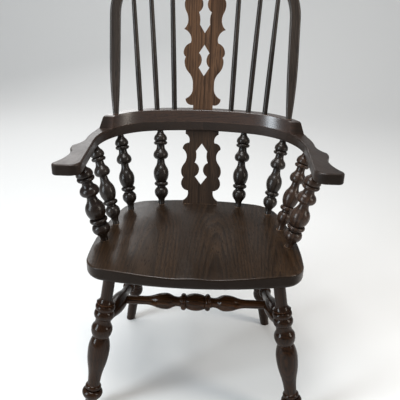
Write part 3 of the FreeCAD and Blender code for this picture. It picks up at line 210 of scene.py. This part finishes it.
class Wiring:
    """Short words for adding and joining nodes in one tree."""

    def __init__(self, tree):
        self.tree = tree

    def feed(self, socket, value):
        if isinstance(value, bpy.types.NodeSocket):
            self.tree.links.new(value, socket)
        elif value is not None:
            socket.default_value = value

    def coordinates(self, kind="Object"):
        return self.tree.nodes.new("ShaderNodeTexCoord").outputs[kind]

    def math(self, operation, first, second=None):
        node = self.tree.nodes.new("ShaderNodeMath")
        node.operation = operation
        self.feed(node.inputs[0], first)
        self.feed(node.inputs[1], second)
        return node.outputs[0]

    def vector(self, operation, first, second=None):
        node = self.tree.nodes.new("ShaderNodeVectorMath")
        node.operation = operation
        self.feed(node.inputs[0], first)
        self.feed(node.inputs["Scale" if operation == "SCALE" else 1], second)
        return node.outputs["Value" if operation in ("LENGTH", "DOT_PRODUCT") else "Vector"]

    def split(self, vector):
        node = self.tree.nodes.new("ShaderNodeSeparateXYZ")
        self.feed(node.inputs[0], vector)
        return node.outputs

    def join(self, x, y, z):
        node = self.tree.nodes.new("ShaderNodeCombineXYZ")
        for socket, value in zip(node.inputs, (x, y, z)):
            self.feed(socket, value)
        return node.outputs[0]

    def mapping(self, turn_by, move_by):
        node = self.tree.nodes.new("ShaderNodeMapping")
        self.feed(node.inputs["Vector"], self.coordinates())
        node.inputs["Rotation"].default_value = turn_by.to_euler()
        node.inputs["Location"].default_value = move_by
        return node.outputs["Vector"]

    def noise(self, vector, scale, detail=2.0, rough=0.5, output="Fac"):
        node = self.tree.nodes.new("ShaderNodeTexNoise")
        self.feed(node.inputs["Vector"], vector)
        self.feed(node.inputs["Scale"], scale)
        self.feed(node.inputs["Detail"], detail)
        self.feed(node.inputs["Roughness"], rough)
        return node.outputs[output]

    def span(self, value, low, high, to_low=0.0, to_high=1.0):
        """A soft step: to_low below the span from low to high, to_high above it."""
        node = self.tree.nodes.new("ShaderNodeMapRange")
        node.interpolation_type = "SMOOTHSTEP"
        for label, entry in (("Value", value), ("From Min", low), ("From Max", high)):
            self.feed(node.inputs[label], entry)
        self.feed(node.inputs["To Min"], to_low)
        self.feed(node.inputs["To Max"], to_high)
        return node.outputs["Result"]

    def mix(self, share, first, second):
        """Two colours mixed. The Mix node's colour sockets have numbers, as its names repeat."""
        node = self.tree.nodes.new("ShaderNodeMix")
        node.data_type = "RGBA"
        self.feed(node.inputs["Factor"], share)
        self.feed(node.inputs[6], first)
        self.feed(node.inputs[7], second)
        return node.outputs[2]

    def group(self, group, **values):
        node = self.tree.nodes.new("ShaderNodeGroup")
        node.node_tree = group
        for label, value in values.items():
            self.feed(node.inputs[label.replace("_", " ")], value)
        return node.outputs


print("node words:", [word for word in vars(Wiring) if not word.startswith("_")])

# %% [markdown]
# ## How oak is built
# Oak is ring-porous: each year starts with a band of open pores and ends with dense wood. Cut
# along the trunk, the bands draw long lines, and cut flat they draw tall arches. A picture of
# wood would slide off a turned leg, but a solid pattern runs through it as real wood does. We
# measure the distance from the trunk's heart, bend it with noise and fold it into years. A
# node group keeps this recipe in one place for every part of the chair.

# %% The oak group
oak_group, group_in, group_out = new_group(
    "oak_figure",
    [
        ("Grain", "NodeSocketVector", None),
        ("Ring Width", "NodeSocketFloat", 0.004),
        ("Waviness", "NodeSocketFloat", 0.012),
        ("Fineness", "NodeSocketFloat", 1.0),
    ],
    ["Rings", "Pores", "Streaks", "Cloud"],
)
wire = Wiring(oak_group)


def drawn_out(share):
    """The grain's coordinates with Z shortened to a share, which draws noise out along the log."""
    return wire.vector("MULTIPLY", group_in.outputs["Grain"], (1.0, 1.0, share))


def fine_scale(scale):
    """A noise scale that the group's Fineness changes."""
    return wire.math("MULTIPLY", group_in.outputs["Fineness"], scale)


sway = wire.noise(drawn_out(0.16), 11.0, 3.0, 0.5, "Color")
sway = wire.vector("SUBTRACT", sway, (0.5, 0.5, 0.5))
swing = wire.vector("SCALE", sway, group_in.outputs["Waviness"])
from_heart = wire.vector("LENGTH", wire.vector("ADD", drawn_out(0.03), swing))
phase = wire.math("FRACT", wire.math("DIVIDE", from_heart, group_in.outputs["Ring Width"]))

# The open band of each year starts at once and fades slowly into the dense wood.
open_band = wire.math("MULTIPLY", wire.span(phase, 0.0, 0.16), wire.span(phase, 0.30, 0.98, 1.0, 0.0))
wire.feed(group_out.inputs["Rings"], open_band)

pore_mask = wire.span(wire.noise(drawn_out(0.035), fine_scale(900.0), 1.0, 0.4), 0.56, 0.68)
pore_mask = wire.math("MULTIPLY", pore_mask, wire.span(open_band, 0.0, 1.0, 0.35, 1.0))
wire.feed(group_out.inputs["Pores"], pore_mask)

wire.feed(group_out.inputs["Streaks"], wire.noise(drawn_out(0.02), fine_scale(190.0), 4.0, 0.6))
wire.feed(group_out.inputs["Cloud"], wire.noise(drawn_out(0.35), 9.0, 2.0, 0.5))
print("oak group has", len(oak_group.nodes), "nodes")

# %% [markdown]
# ## Age and handling
# Stain and old polish gather in the grooves of a turning and rub off its proud edges, where the
# wood shows a warmer brown. That lighter colour on the edges is also a painted highlight along
# the crests of beads and rims. Two geometry nodes find those places on any mesh: Ambient
# Occlusion is dark in a groove, and the Bevel node bends the normal only near an edge. This group
# turns both into masks. Neither depends on where the camera stands.

# %% The handling group
wear_group, group_in, group_out = new_group(
    "handling",
    [
        ("Groove Reach", "NodeSocketFloat", 0.012),
        ("Edge Reach", "NodeSocketFloat", 0.0022),
        ("Vector", "NodeSocketVector", None),
    ],
    ["Groove", "Edge", "Patch"],
)
wire = Wiring(wear_group)
shade = wear_group.nodes.new("ShaderNodeAmbientOcclusion")
shade.samples = 6
shade.only_local = True
wire.feed(shade.inputs["Distance"], group_in.outputs["Groove Reach"])
openness = shade.outputs["AO"]
bevel = wear_group.nodes.new("ShaderNodeBevel")
bevel.samples = 4
wire.feed(bevel.inputs["Radius"], group_in.outputs["Edge Reach"])
geometry = wear_group.nodes.new("ShaderNodeNewGeometry")
agreement = wire.vector("DOT_PRODUCT", bevel.outputs["Normal"], geometry.outputs["Normal"])
near_edge = wire.span(agreement, 0.80, 0.995, 1.0, 0.0)
# Proud edges get a lighter colour: partly wear, partly a painted highlight.
proud_edge_worn_and_highlit = wire.math("MULTIPLY", near_edge, wire.span(openness, 0.55, 0.9))
wire.feed(group_out.inputs["Groove"], wire.span(openness, 0.35, 0.92, 1.0, 0.0))
wire.feed(group_out.inputs["Edge"], proud_edge_worn_and_highlit)
wire.feed(group_out.inputs["Patch"], wire.noise(group_in.outputs["Vector"], 26.0, 4.0, 0.62))
print("handling group has", len(wear_group.nodes), "nodes")

# %% [markdown]
# ## One finish, many boards
# A chair is stained in one go, yet each stick comes from another board, so its grain starts at
# another place and its tone differs a little. A function makes the finish for one piece: it
# takes grain coordinates that run along the piece, and mixes stain, rings, pores, worn edges and
# dark grooves. The worn edges are partly a painted highlight. End grain drinks more stain and
# polish, so sawn ends are darker and duller; as the mask takes every face at the sides that looks
# to the front, this darkening is partly end grain and partly painted shade, standing in for a dark
# reflection. The clear coat gives the highlights of polish, and a fine bump keeps it from looking
# like plastic.

# %% The finish of one piece
# Each stain is four colours: between the rings, on them, the open rings, and bare worn wood, which on proud
# edges is partly a painted highlight.
BLACK_OAK = ((0.008, 0.0056, 0.0042), (0.019, 0.0140, 0.0106), (0.034, 0.0250, 0.0190), (0.17, 0.105, 0.075))
WARM_OAK = ((0.009, 0.0038, 0.0015), (0.024, 0.0098, 0.0035), (0.044, 0.0175, 0.0066), (0.20, 0.085, 0.040))
SEAT_OAK = ((0.010, 0.0055, 0.0028), (0.023, 0.0122, 0.0060), (0.040, 0.022, 0.0112), (0.26, 0.16, 0.10))
CREST_OAK = ((0.011, 0.0056, 0.0034), (0.028, 0.0132, 0.0072), (0.050, 0.0230, 0.0124), (0.28, 0.15, 0.095))
ARM_OAK = ((0.009, 0.0052, 0.0036), (0.022, 0.0122, 0.0076), (0.038, 0.021, 0.0130), (0.24, 0.14, 0.10))
BROWN_OAK = ((0.024, 0.0118, 0.0060), (0.075, 0.038, 0.0195), (0.115, 0.060, 0.032), (0.24, 0.13, 0.075))
# A darker, greyer copy of BROWN_OAK: painted shade for the splat under the arms.
SHADED_BROWN_OAK = ((0.014, 0.0080, 0.0048), (0.038, 0.0220, 0.0128), (0.060, 0.035, 0.0215), (0.17, 0.09, 0.055))
PORE_DARK = (0.003, 0.002, 0.0015, 1)
GROOVE_DARK = (0.003, 0.0022, 0.002, 1)
# The colour of sawn ends: end grain that drank more stain, and partly painted shade.
END_GRAIN_AND_SHADE_DARK = (0.0065, 0.0030, 0.0010, 1)
BUMP_STRENGTH = 0.25
BUMP_HEIGHT = 0.0006
print("bump height in mm:", round(BUMP_HEIGHT * 1000, 2))


def mixed_stain(wire, oak, wear, sawn_and_shaded, stain, rings, edge):
    """The colour of the wood: stain, rings, clouds, pores, worn edges that are partly a painted highlight,
    grooves, and sawn ends that are partly painted shade.
    """
    dark, middle, light, worn_and_highlit = stain
    colour = wire.mix(wire.span(oak["Streaks"], 0.36, 0.66), dark, middle)
    colour = wire.mix(wire.math("MULTIPLY", oak["Rings"], rings), colour, light)
    colour = wire.mix(wire.span(oak["Cloud"], 0.36, 0.70, 0.0, 0.55), colour, dark)
    colour = wire.mix(wire.math("MULTIPLY", oak["Pores"], 0.8), colour, PORE_DARK)
    rubbed_and_highlit = wire.math("MULTIPLY", wear["Edge"], wire.span(wear["Patch"], 0.36, 0.60))
    # The worn colour on proud edges is partly wear and partly a painted highlight.
    colour = wire.mix(wire.math("MULTIPLY", rubbed_and_highlit, edge), colour, worn_and_highlit)
    colour = wire.mix(wire.math("MULTIPLY", wear["Groove"], 0.8), colour, GROOVE_DARK)
    # Sawn ends and other front-facing faces darken: partly end grain, partly painted shade.
    return wire.mix(wire.math("MULTIPLY", sawn_and_shaded, 0.85), colour, END_GRAIN_AND_SHADE_DARK)


def polished_oak(name, grain_of, stain, tone=1.0, rings=0.55, ring_width=0.004, waviness=0.012,
                 coat=0.45, coat_rough=0.17, coat_ior=1.42, rough=0.38, shine=0.15, edge=0.7,
                 groove_reach=0.012, edge_reach=0.0022, ends=None):
    """Stained and polished oak. Functions of the wiring give its grain and its sawn ends, which are darkened
    partly as end grain and partly as painted shade.
    """
    material = bpy.data.materials.new(name)
    material.use_nodes = True
    wire = Wiring(material.node_tree)
    grain = grain_of(wire)
    oak = wire.group(oak_group, Grain=grain, Ring_Width=ring_width, Waviness=waviness)
    wear = wire.group(wear_group, Groove_Reach=groove_reach, Edge_Reach=edge_reach, Vector=grain)
    sawn_and_shaded = ends(wire) if ends else 0.0
    toned = [tuple(channel * tone for channel in shade) + (1,) for shade in stain]

    surface = material.node_tree.nodes["Principled BSDF"]
    wire.feed(surface.inputs["Base Color"], mixed_stain(wire, oak, wear, sawn_and_shaded, toned, rings, edge))
    dullness = wire.span(wear["Patch"], 0.3, 0.7, rough - 0.06, rough + 0.08)
    for mask, more in ((oak["Pores"], 0.2), (wear["Groove"], 0.25), (sawn_and_shaded, 0.12)):
        dullness = wire.math("ADD", dullness, wire.math("MULTIPLY", mask, more))
    wire.feed(surface.inputs["Roughness"], dullness)
    surface.inputs["Specular IOR Level"].default_value = shine

    polish = wire.math("SUBTRACT", coat, wire.math("MULTIPLY", wear["Groove"], coat * 0.8))
    unsawn_unshaded = wire.math("SUBTRACT", 1.0, wire.math("MULTIPLY", sawn_and_shaded, 0.9))
    wire.feed(surface.inputs["Coat Weight"], wire.math("MULTIPLY", polish, unsawn_unshaded))
    surface.inputs["Coat Roughness"].default_value = coat_rough
    surface.inputs["Coat IOR"].default_value = coat_ior

    fibres = wire.math("MULTIPLY", oak["Streaks"], 0.5)
    bump = wire.tree.nodes.new("ShaderNodeBump")
    bump.inputs["Strength"].default_value = BUMP_STRENGTH
    bump.inputs["Distance"].default_value = BUMP_HEIGHT
    wire.feed(bump.inputs["Height"], wire.math("SUBTRACT", fibres, wire.math("MULTIPLY", oak["Pores"], 0.9)))
    wire.feed(surface.inputs["Normal"], bump.outputs["Normal"])
    return material


def dress(name, material):
    """Gives a node this material in every slot."""
    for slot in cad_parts[name].material_slots:
        slot.material = material
    print(name, "gets", material.name)


# %% [markdown]
# ## Which way the grain runs
# A Mapping node turns an object's coordinates so that Z runs from one end of the piece to the
# other, and moves them so that the trunk's heart lies beside the piece, as it does in a sawn
# board. The shift slides the piece along the log. Sawn ends are found by the way they face: every
# face at the sides that looks to the front is darkened, partly as end grain and partly as painted
# shade.

# %% Grain and sawn ends
# Front-facing faces this far from the middle are darkened: partly end grain, partly painted shade.
SAWN_AND_SHADED_FROM, SAWN_AND_SHADED_TO = 0.235, 0.262
print("sawn ends lie", round(SAWN_AND_SHADED_TO * 1000), "mm and more from the middle of the chair")


def straight_grain(start, end, shift, heart):
    """A grain function for a piece cut along the line from start to end, beside the heart."""
    upright = (end - start).to_track_quat("Z", "Y").to_matrix().to_4x4().inverted()
    place = upright @ -Vector(start)
    move_by = (place.x + heart[0], place.y + heart[1], place.z + shift)
    return lambda wire: wire.mapping(upright, move_by)


def sawn_ends_and_shade(wire):
    """A mask of the sawn ends of arms and crest: faces at the sides that look to the front. It darkens them
    partly as end grain and partly as painted shade.
    """
    front = wire.span(wire.split(wire.coordinates("Normal"))["Y"], -0.85, -0.45, 1.0, 0.0)
    across = wire.math("ABSOLUTE", wire.split(wire.coordinates())["X"])
    return wire.math("MULTIPLY", front, wire.span(across, SAWN_AND_SHADED_FROM, SAWN_AND_SHADED_TO))


def seat_front_and_shade(wire):
    """A mask of the faces along the front of the seat that look to the front: its sawn edge, darkened partly
    as end grain and partly as painted shade.
    """
    return wire.span(wire.split(wire.coordinates("Normal"))["Y"], -0.9, -0.55, 1.0, 0.0)


# %% [markdown]
# ## The turned parts
# Every turned stick gets its own grain line and its own shift along the log, so no two match.
# The fixed shift comes from its place in the list, which keeps the result the same on each run.
# Each board also takes the stain a little differently. Legs and stretchers keep a glossier
# polish than the spindles, and three spindles near the hands get a browner stain. The two right
# ones among them are also made much lighter, which is a painted warm light on them.

# %% Stain the turned parts
# The tones of arm_spindle_right_1 and arm_spindle_right_2 are raised to paint warm light on them.
TONES = {
    "leg_front_left": 0.85, "leg_front_right": 0.8, "leg_rear_left": 0.7, "leg_rear_right": 0.7,
    "side_stretcher_left": 0.8, "side_stretcher_right": 0.8, "cross_stretcher": 1.5,
    "arm_spindle_left_1": 0.8, "arm_spindle_right_1": 1.8, "arm_spindle_right_2": 1.45,
}
BROWNER_SPINDLES = ("arm_spindle_left_1", "arm_spindle_right_1", "arm_spindle_right_2")
LOG_SHIFT = 0.37

low_sticks = ["leg_front_left", "leg_front_right", "leg_rear_left", "leg_rear_right"]
low_sticks += ["side_stretcher_left", "side_stretcher_right", "cross_stretcher"]
spindles = ["arm_spindle_%s_%d" % (side, number) for side in ("left", "right") for number in range(1, 5)]
spindles += ["back_spindle_%s_%d" % (side, number) for side in ("left", "right") for number in range(1, 4)]
for order, name in enumerate(low_sticks + spindles):
    start, end = ends_of(name)
    heart = (0.045 + 0.004 * (order % 5), 0.02 + 0.006 * (order % 3))
    grain = straight_grain(start, end, LOG_SHIFT * order, heart)
    if name in low_sticks:
        stain, polish = WARM_OAK, {"coat_rough": 0.13, "shine": 0.02}
    else:
        # A browner stain for three spindles; with the raised tones it paints warm light on the right ones.
        stain, polish = ARM_OAK if name in BROWNER_SPINDLES else BLACK_OAK, {"coat_rough": 0.2, "shine": 0.1}
    tone = TONES.get(name, 1.0)
    # Turned parts get the full edge colour: partly wear, partly a painted highlight on their beads.
    dress(name, polished_oak("oak_" + name, grain, stain, tone, coat=0.42, edge=1.0, **polish))

# %% [markdown]
# ## The seat
# The seat is glued up from a few wide boards that run from front to back, so each board shows
# its own arches. The function below picks the board from the distance across the seat
# and moves the log's heart for each one. The heart lies a little below the seat and tilts, so
# the arches close towards one end.

# %% Stain the seat
BOARD_WIDTH = 0.19
FIRST_JOINT = -0.045
HEART_HEIGHT = 0.372
HEART_TILT = 0.055
HEART_SWING = 0.03
BOARD_SHIFT = 0.83


def seat_grain(wire):
    """Grain that runs from front to back, with another log for each board of the seat."""
    x, y, z = wire.split(wire.coordinates())
    across = wire.math("SUBTRACT", x, FIRST_JOINT)
    board = wire.math("FLOOR", wire.math("DIVIDE", across, BOARD_WIDTH))
    middle = wire.math("MULTIPLY", wire.math("ADD", board, 0.5), BOARD_WIDTH)
    swing = wire.math("MULTIPLY", wire.math("SINE", wire.math("MULTIPLY", board, 2.4)), HEART_SWING)
    return wire.join(
        wire.math("ADD", wire.math("SUBTRACT", across, middle), swing),
        wire.math("ADD", wire.math("SUBTRACT", z, HEART_HEIGHT), wire.math("MULTIPLY", y, HEART_TILT)),
        wire.math("ADD", y, wire.math("MULTIPLY", board, BOARD_SHIFT)),
    )


dress("seat", polished_oak(
    "oak_seat", seat_grain, SEAT_OAK, rings=0.6, ring_width=0.0065, waviness=0.02, coat=0.38,
    rough=0.36, shine=0.12, edge=0.8, groove_reach=0.02, edge_reach=0.005, ends=seat_front_and_shade,
))

# %% [markdown]
# ## Drawing a plan
# The arms and the crest are sawn to a plan of straight lines and arcs that flow into each other.
# A bmesh can draw such a plan from one point: extruding the point leaves a straight edge behind
# it, and spinning the point round a centre leaves an arc. Because each arc starts where the last
# one ended, the outline stays smooth and never opens.

# %% A pencil for plans
SHARP_ANGLE = math.radians(32)


class Pencil:
    """Draws a chain of edges in a mesh, all at one height."""

    def __init__(self, shape, x, y, z):
        self.shape = shape
        self.start = self.tip = shape.verts.new((x, y, z))
        self.edges = []

    def line(self, x, y):
        drawn = bmesh.ops.extrude_vert_indiv(self.shape, verts=[self.tip])
        self.tip = drawn["verts"][0]
        self.tip.co = (x, y, self.start.co.z)
        self.edges += drawn["edges"]

    def arc(self, x, y, radius, turn, steps):
        """Adds an arc to a point, turning left (+1) or right (-1) on the way."""
        chord = Vector((x, y, self.start.co.z)) - self.tip.co
        reach = math.sqrt(radius ** 2 - (chord.length / 2) ** 2)
        centre = self.tip.co + chord / 2 + Vector((-chord.y, chord.x, 0)).normalized() * reach * turn
        angle = 2 * math.asin(chord.length / 2 / radius) * turn
        before = set(self.shape.edges)
        drawn = bmesh.ops.spin(
            self.shape, geom=[self.tip], cent=centre, axis=(0, 0, 1), angle=angle, steps=steps)
        self.tip = [item for item in drawn["geom_last"] if isinstance(item, bmesh.types.BMVert)][0]
        self.edges += [edge for edge in self.shape.edges if edge not in before]

    def close(self):
        self.edges.append(self.shape.edges.new((self.tip, self.start)))
        return self.edges


def soften(shape, edges, width, segments):
    """Rounds edges of a mesh."""
    bmesh.ops.bevel(shape, geom=edges, offset=width, offset_type="OFFSET", segments=segments,
                    profile=0.5, affect="EDGES", material=-1, clamp_overlap=False)


def finish_piece(name, shape, node, material):
    """Turns a bmesh into a piece of the chair that stands for a node of the model."""
    bmesh.ops.recalc_face_normals(shape, faces=shape.faces)
    for face in shape.faces:
        face.smooth = True
    for edge in shape.edges:
        edge.smooth = edge.calc_face_angle(0) < SHARP_ANGLE
    mesh = bpy.data.meshes.new(name)
    shape.to_mesh(mesh)
    shape.free()
    mesh.materials.append(material)
    piece = link(name, mesh)
    even = piece.modifiers.new("even_shading", "WEIGHTED_NORMAL")
    even.keep_sharp = True
    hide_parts(node)
    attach(piece, "root")
    print(name, "has", len(mesh.polygons), "faces")


trial = bmesh.new()
trial_pencil = Pencil(trial, 0, 0, 0)
trial_pencil.arc(1, 1, 1, 1, 8)
print("a quarter circle takes", len(trial_pencil.edges), "edges")
trial.free()

# %% [markdown]
# ## The arms
# Each arm is one plank, sawn to its plan and then rasped. Where a hand rests, its edges are well
# rounded, but under the crest the plank stays square, so that the two lie tight on each other.
# One bevel with the same width everywhere can't show that, so only the free edges get the wide
# one, and the edges below get a narrow one.

# %% Measure the arms
# Behind the sitter, both edges of the arms are arcs round one far centre.
BACK_CENTRE = Vector((0, -0.42416, 0))
INNER_BACK, OUTER_BACK = 0.610, 0.645
# At the shoulders the edges turn forward round two nearer centres.
INNER_CENTRE, INNER_SHOULDER = Vector((0.104, 0.00338, 0)), 0.170
OUTER_CENTRE, OUTER_SHOULDER = Vector((0.11320, 0.01984, 0)), 0.18680
ARM_INSIDE, ARM_OUTSIDE = 0.274, 0.300
ARM_LOW, ARM_HIGH = 0.647, 0.675
CREST_END, CREST_HIGH = 0.0998, 0.7070
# The hand: its front, the rounds of its two corners, the waist behind it and the swell.
HAND_FRONT, INSIDE_ROUND = -0.1772, 0.029
TIP_START, TIP, TIP_ROUND = 0.330, (0.34103, -0.15587), 0.0135
WAIST, WAIST_HOLLOW = (0.317, -0.08016), 0.1313
SWELL_START, SWELL, SWELL_ROUND = (0.3225, -0.06416), (0.323, -0.03516), 0.045
SWELL_HOLLOW = 0.07726
HAND_ROUNDING, UNDER_ROUNDING = 0.0055, 0.0035


def turning_point(centre, radius):
    """Where the arc of the back flows into the arc of a shoulder."""
    return BACK_CENTRE + (centre - BACK_CENTRE).normalized() * radius


print("arms are", round((ARM_HIGH - ARM_LOW) * 1000), "mm thick")

# %% Shape the arms
def shape_arm(side):
    """One arm: its plan padded to a plank, its free edges rounded."""
    shape = bmesh.new()
    inner_turn = turning_point(INNER_CENTRE, INNER_BACK)
    outer_turn = turning_point(OUTER_CENTRE, OUTER_BACK)
    pencil = Pencil(shape, 0, BACK_CENTRE.y + INNER_BACK, ARM_LOW)
    pencil.arc(inner_turn.x, inner_turn.y, INNER_BACK, -1, 14)
    pencil.arc(ARM_INSIDE, INNER_CENTRE.y, INNER_SHOULDER, -1, 26)
    pencil.line(ARM_INSIDE, HAND_FRONT + INSIDE_ROUND)
    pencil.arc(ARM_INSIDE + INSIDE_ROUND, HAND_FRONT, INSIDE_ROUND, 1, 12)
    pencil.line(TIP_START, HAND_FRONT)
    pencil.arc(*TIP, TIP_ROUND, 1, 12)
    pencil.arc(*WAIST, WAIST_HOLLOW, -1, 12)
    pencil.line(*SWELL_START)
    pencil.arc(*SWELL, SWELL_ROUND, 1, 8)
    pencil.arc(ARM_OUTSIDE, OUTER_CENTRE.y, SWELL_HOLLOW, -1, 10)
    pencil.arc(outer_turn.x, outer_turn.y, OUTER_SHOULDER, 1, 24)
    pencil.arc(0, BACK_CENTRE.y + OUTER_BACK, OUTER_BACK, 1, 14)
    plan = bmesh.ops.contextual_create(shape, geom=pencil.close())["faces"]
    raised = bmesh.ops.extrude_face_region(shape, geom=plan)["geom"]
    tops = [item for item in raised if isinstance(item, bmesh.types.BMVert)]
    bmesh.ops.translate(shape, verts=tops, vec=(0, 0, ARM_HIGH - ARM_LOW))
    bmesh.ops.scale(shape, verts=shape.verts, vec=(side, 1, 1))
    bmesh.ops.recalc_face_normals(shape, faces=shape.faces)
    round_free_edges(shape)
    return shape


def round_free_edges(shape):
    """Rounds the level edges of an arm, apart from the joint in the middle and the crest's seat."""
    rim = [edge for edge in shape.edges if abs(edge.verts[0].co.z - edge.verts[1].co.z) < 1e-5]
    rim = [edge for edge in rim if max(abs(vert.co.x) for vert in edge.verts) > 0.001]
    middle = (ARM_LOW + ARM_HIGH) / 2
    above = [edge for edge in rim if edge.verts[0].co.z > middle]
    below = [edge for edge in rim if edge.verts[0].co.z < middle]
    free = [edge for edge in above if max(vert.co.y for vert in edge.verts) < CREST_END - 0.002]
    soften(shape, free, HAND_ROUNDING, 5)
    soften(shape, [edge for edge in below if edge.is_valid], UNDER_ROUNDING, 3)


left_grain = straight_grain(Vector((-0.31, -0.17, 0.66)), Vector((-0.10, 0.20, 0.66)), 0.4, (0.06, 0.05))
right_grain = straight_grain(Vector((0.31, -0.17, 0.66)), Vector((0.10, 0.20, 0.66)), 1.9, (0.05, 0.06))
for key, side, grain in (("left", -1, left_grain), ("right", 1, right_grain)):
    finish = polished_oak("oak_arm_" + key, grain, ARM_OAK, coat=0.55, coat_rough=0.30, rough=0.42,
                          edge=0.3, edge_reach=0.003, ends=sawn_ends_and_shade)
    finish_piece("bent_arm_" + key, shape_arm(side), "arm_" + key, finish)

# %% [markdown]
# ## The crest
# The crest is a block that lies on both arms. Each end is a steep ramp that eases off at the top. Its
# plan changes with the height, as its faces lean inwards. Three plans are drawn at three
# heights with the same number of steps, and bridging joins them like the hoops of a barrel.

# %% Shape the crest
SHOULDER_STEPS = 18
BACK_STEPS = 36
CREST_ROUNDING = 0.0018


def crest_plan(shape, height, front, back, end):
    """The outline of the crest at one height, set back from the arm's edges."""
    reach_in, reach_out = INNER_SHOULDER + front, OUTER_SHOULDER - back
    inner_x = INNER_CENTRE.x + math.sqrt(reach_in ** 2 - (end - INNER_CENTRE.y) ** 2)
    outer_x = OUTER_CENTRE.x + math.sqrt(reach_out ** 2 - (end - OUTER_CENTRE.y) ** 2)
    inner_turn = turning_point(INNER_CENTRE, INNER_BACK + front)
    outer_turn = turning_point(OUTER_CENTRE, OUTER_BACK - back)
    pencil = Pencil(shape, inner_x, end, height)
    pencil.arc(inner_turn.x, inner_turn.y, reach_in, 1, SHOULDER_STEPS)
    pencil.arc(-inner_turn.x, inner_turn.y, INNER_BACK + front, 1, BACK_STEPS)
    pencil.arc(-inner_x, end, reach_in, 1, SHOULDER_STEPS)
    pencil.line(-outer_x, end)
    pencil.arc(-outer_turn.x, outer_turn.y, reach_out, -1, SHOULDER_STEPS)
    pencil.arc(outer_turn.x, outer_turn.y, OUTER_BACK - back, -1, BACK_STEPS)
    pencil.arc(outer_x, end, reach_out, -1, SHOULDER_STEPS)
    return pencil.close()


shape = bmesh.new()
levels = [
    crest_plan(shape, ARM_HIGH, 0.0005, 0.0015, CREST_END),
    crest_plan(shape, ARM_HIGH + 0.0275, 0.0055, 0.0042, CREST_END + 0.0115),
    crest_plan(shape, CREST_HIGH, 0.0062, 0.0048, CREST_END + 0.0165),
]
for lower_loop, upper_loop in zip(levels, levels[1:]):
    bmesh.ops.bridge_loops(shape, edges=lower_loop + upper_loop)
for loop in (levels[0], levels[-1]):
    bmesh.ops.contextual_create(shape, geom=loop)
bmesh.ops.recalc_face_normals(shape, faces=shape.faces)
soften(shape, levels[-1], CREST_ROUNDING, 3)
crest_grain = straight_grain(Vector((-0.27, 0.19, 0.69)), Vector((0.27, 0.19, 0.69)), 0.2, (0.03, 0.055))
crest_finish = polished_oak("oak_crest", crest_grain, CREST_OAK, rings=0.7, coat=1.0, coat_rough=0.25,
                            coat_ior=1.62, edge=0.25, edge_reach=0.002, ends=sawn_ends_and_shade)
finish_piece("raised_crest", shape, "arm_crest", crest_finish)

# %% [markdown]
# ## The splats
# The two splats are thin boards, sawn with the grain upright, and they took less stain than the
# rest, so their figure shows best. Their heart lies far to one side, as in a board from the
# outside of the log, which draws long and nearly straight lines. The lower one lies in the shade
# of the arms, and that shade is painted into its colour: it gets a darker, greyer copy of the
# upper one's stain.

# %% Stain the splats
upper = straight_grain(Vector((0, 0.202, 0.70)), Vector((0, 0.262, 1.14)), 0.6, (0.035, 0.10))
dress("upper_splat", polished_oak("oak_upper_splat", upper, BROWN_OAK, rings=0.8, waviness=0.016))
lower = straight_grain(Vector((0, 0.135, 0.43)), Vector((0, 0.208, 0.66)), 1.1, (0.02, 0.09))
# The lower splat's darker stain is painted shade.
dress("lower_splat", polished_oak("oak_lower_splat", lower, SHADED_BROWN_OAK, rings=0.7))

# %% [markdown]
# ## The bent bow
# The bow is one stick, steamed and bent round a form, so its grain bends with it. Straight
# coordinates would cut across the arch. Inside the arch we measure the way round by angle and
# the place across by radius, and in the straight legs by height and width.

# %% Stain the bow
BOW_LEAN = math.radians(16.5)
BOW_FOOT = Vector((0, 0.136, 0.707))
BOW_LEG = 0.2645
ARCH_RADIUS = 0.235
BOW_HEART = (0.16, 0.05)


def bow_grain(wire):
    """Grain coordinates that follow the bow: up the legs, then round the arch."""
    upright = Matrix.Rotation(BOW_LEAN, 3, "X")
    place = upright @ -BOW_FOOT
    x, y, z = wire.split(wire.mapping(upright, (0, place.y, place.z - BOW_LEG)))
    rise = wire.math("MAXIMUM", z, 0.0)
    drop = wire.math("MINIMUM", z, 0.0)
    reach = wire.vector("LENGTH", wire.join(x, 0.0, rise))
    angle = wire.math("ARCTAN2", rise, x)
    return wire.join(
        wire.math("SUBTRACT", reach, BOW_HEART[0]),
        wire.math("ADD", y, BOW_HEART[1]),
        wire.math("ADD", wire.math("MULTIPLY", angle, ARCH_RADIUS), drop),
    )


dress("back_bow", polished_oak("oak_back_bow", bow_grain, BLACK_OAK, tone=1.35, edge_reach=0.003))

# %% [markdown]
# ## The hidden screws
# Screws driven up through the arms hold the crest. Only their heads could ever be seen, from
# below. Plain steel is enough: fine noise roughens it unevenly, as old bright steel is, and
# scatters the light.

# %% Finish the screws
DULL_STEEL = (0.30, 0.30, 0.31, 1)
BRIGHT_STEEL = (0.52, 0.51, 0.50, 1)

steel = bpy.data.materials.new("screw_steel")
steel.use_nodes = True
wire = Wiring(steel.node_tree)
scratches = wire.noise(wire.coordinates(), 900.0, 3.0, 0.7)
surface = steel.node_tree.nodes["Principled BSDF"]
surface.inputs["Metallic"].default_value = 1.0
wire.feed(surface.inputs["Base Color"], wire.mix(scratches, DULL_STEEL, BRIGHT_STEEL))
wire.feed(surface.inputs["Roughness"], wire.span(scratches, 0.3, 0.7, 0.28, 0.5))
dress("crest_screws", steel)

# %% [markdown]
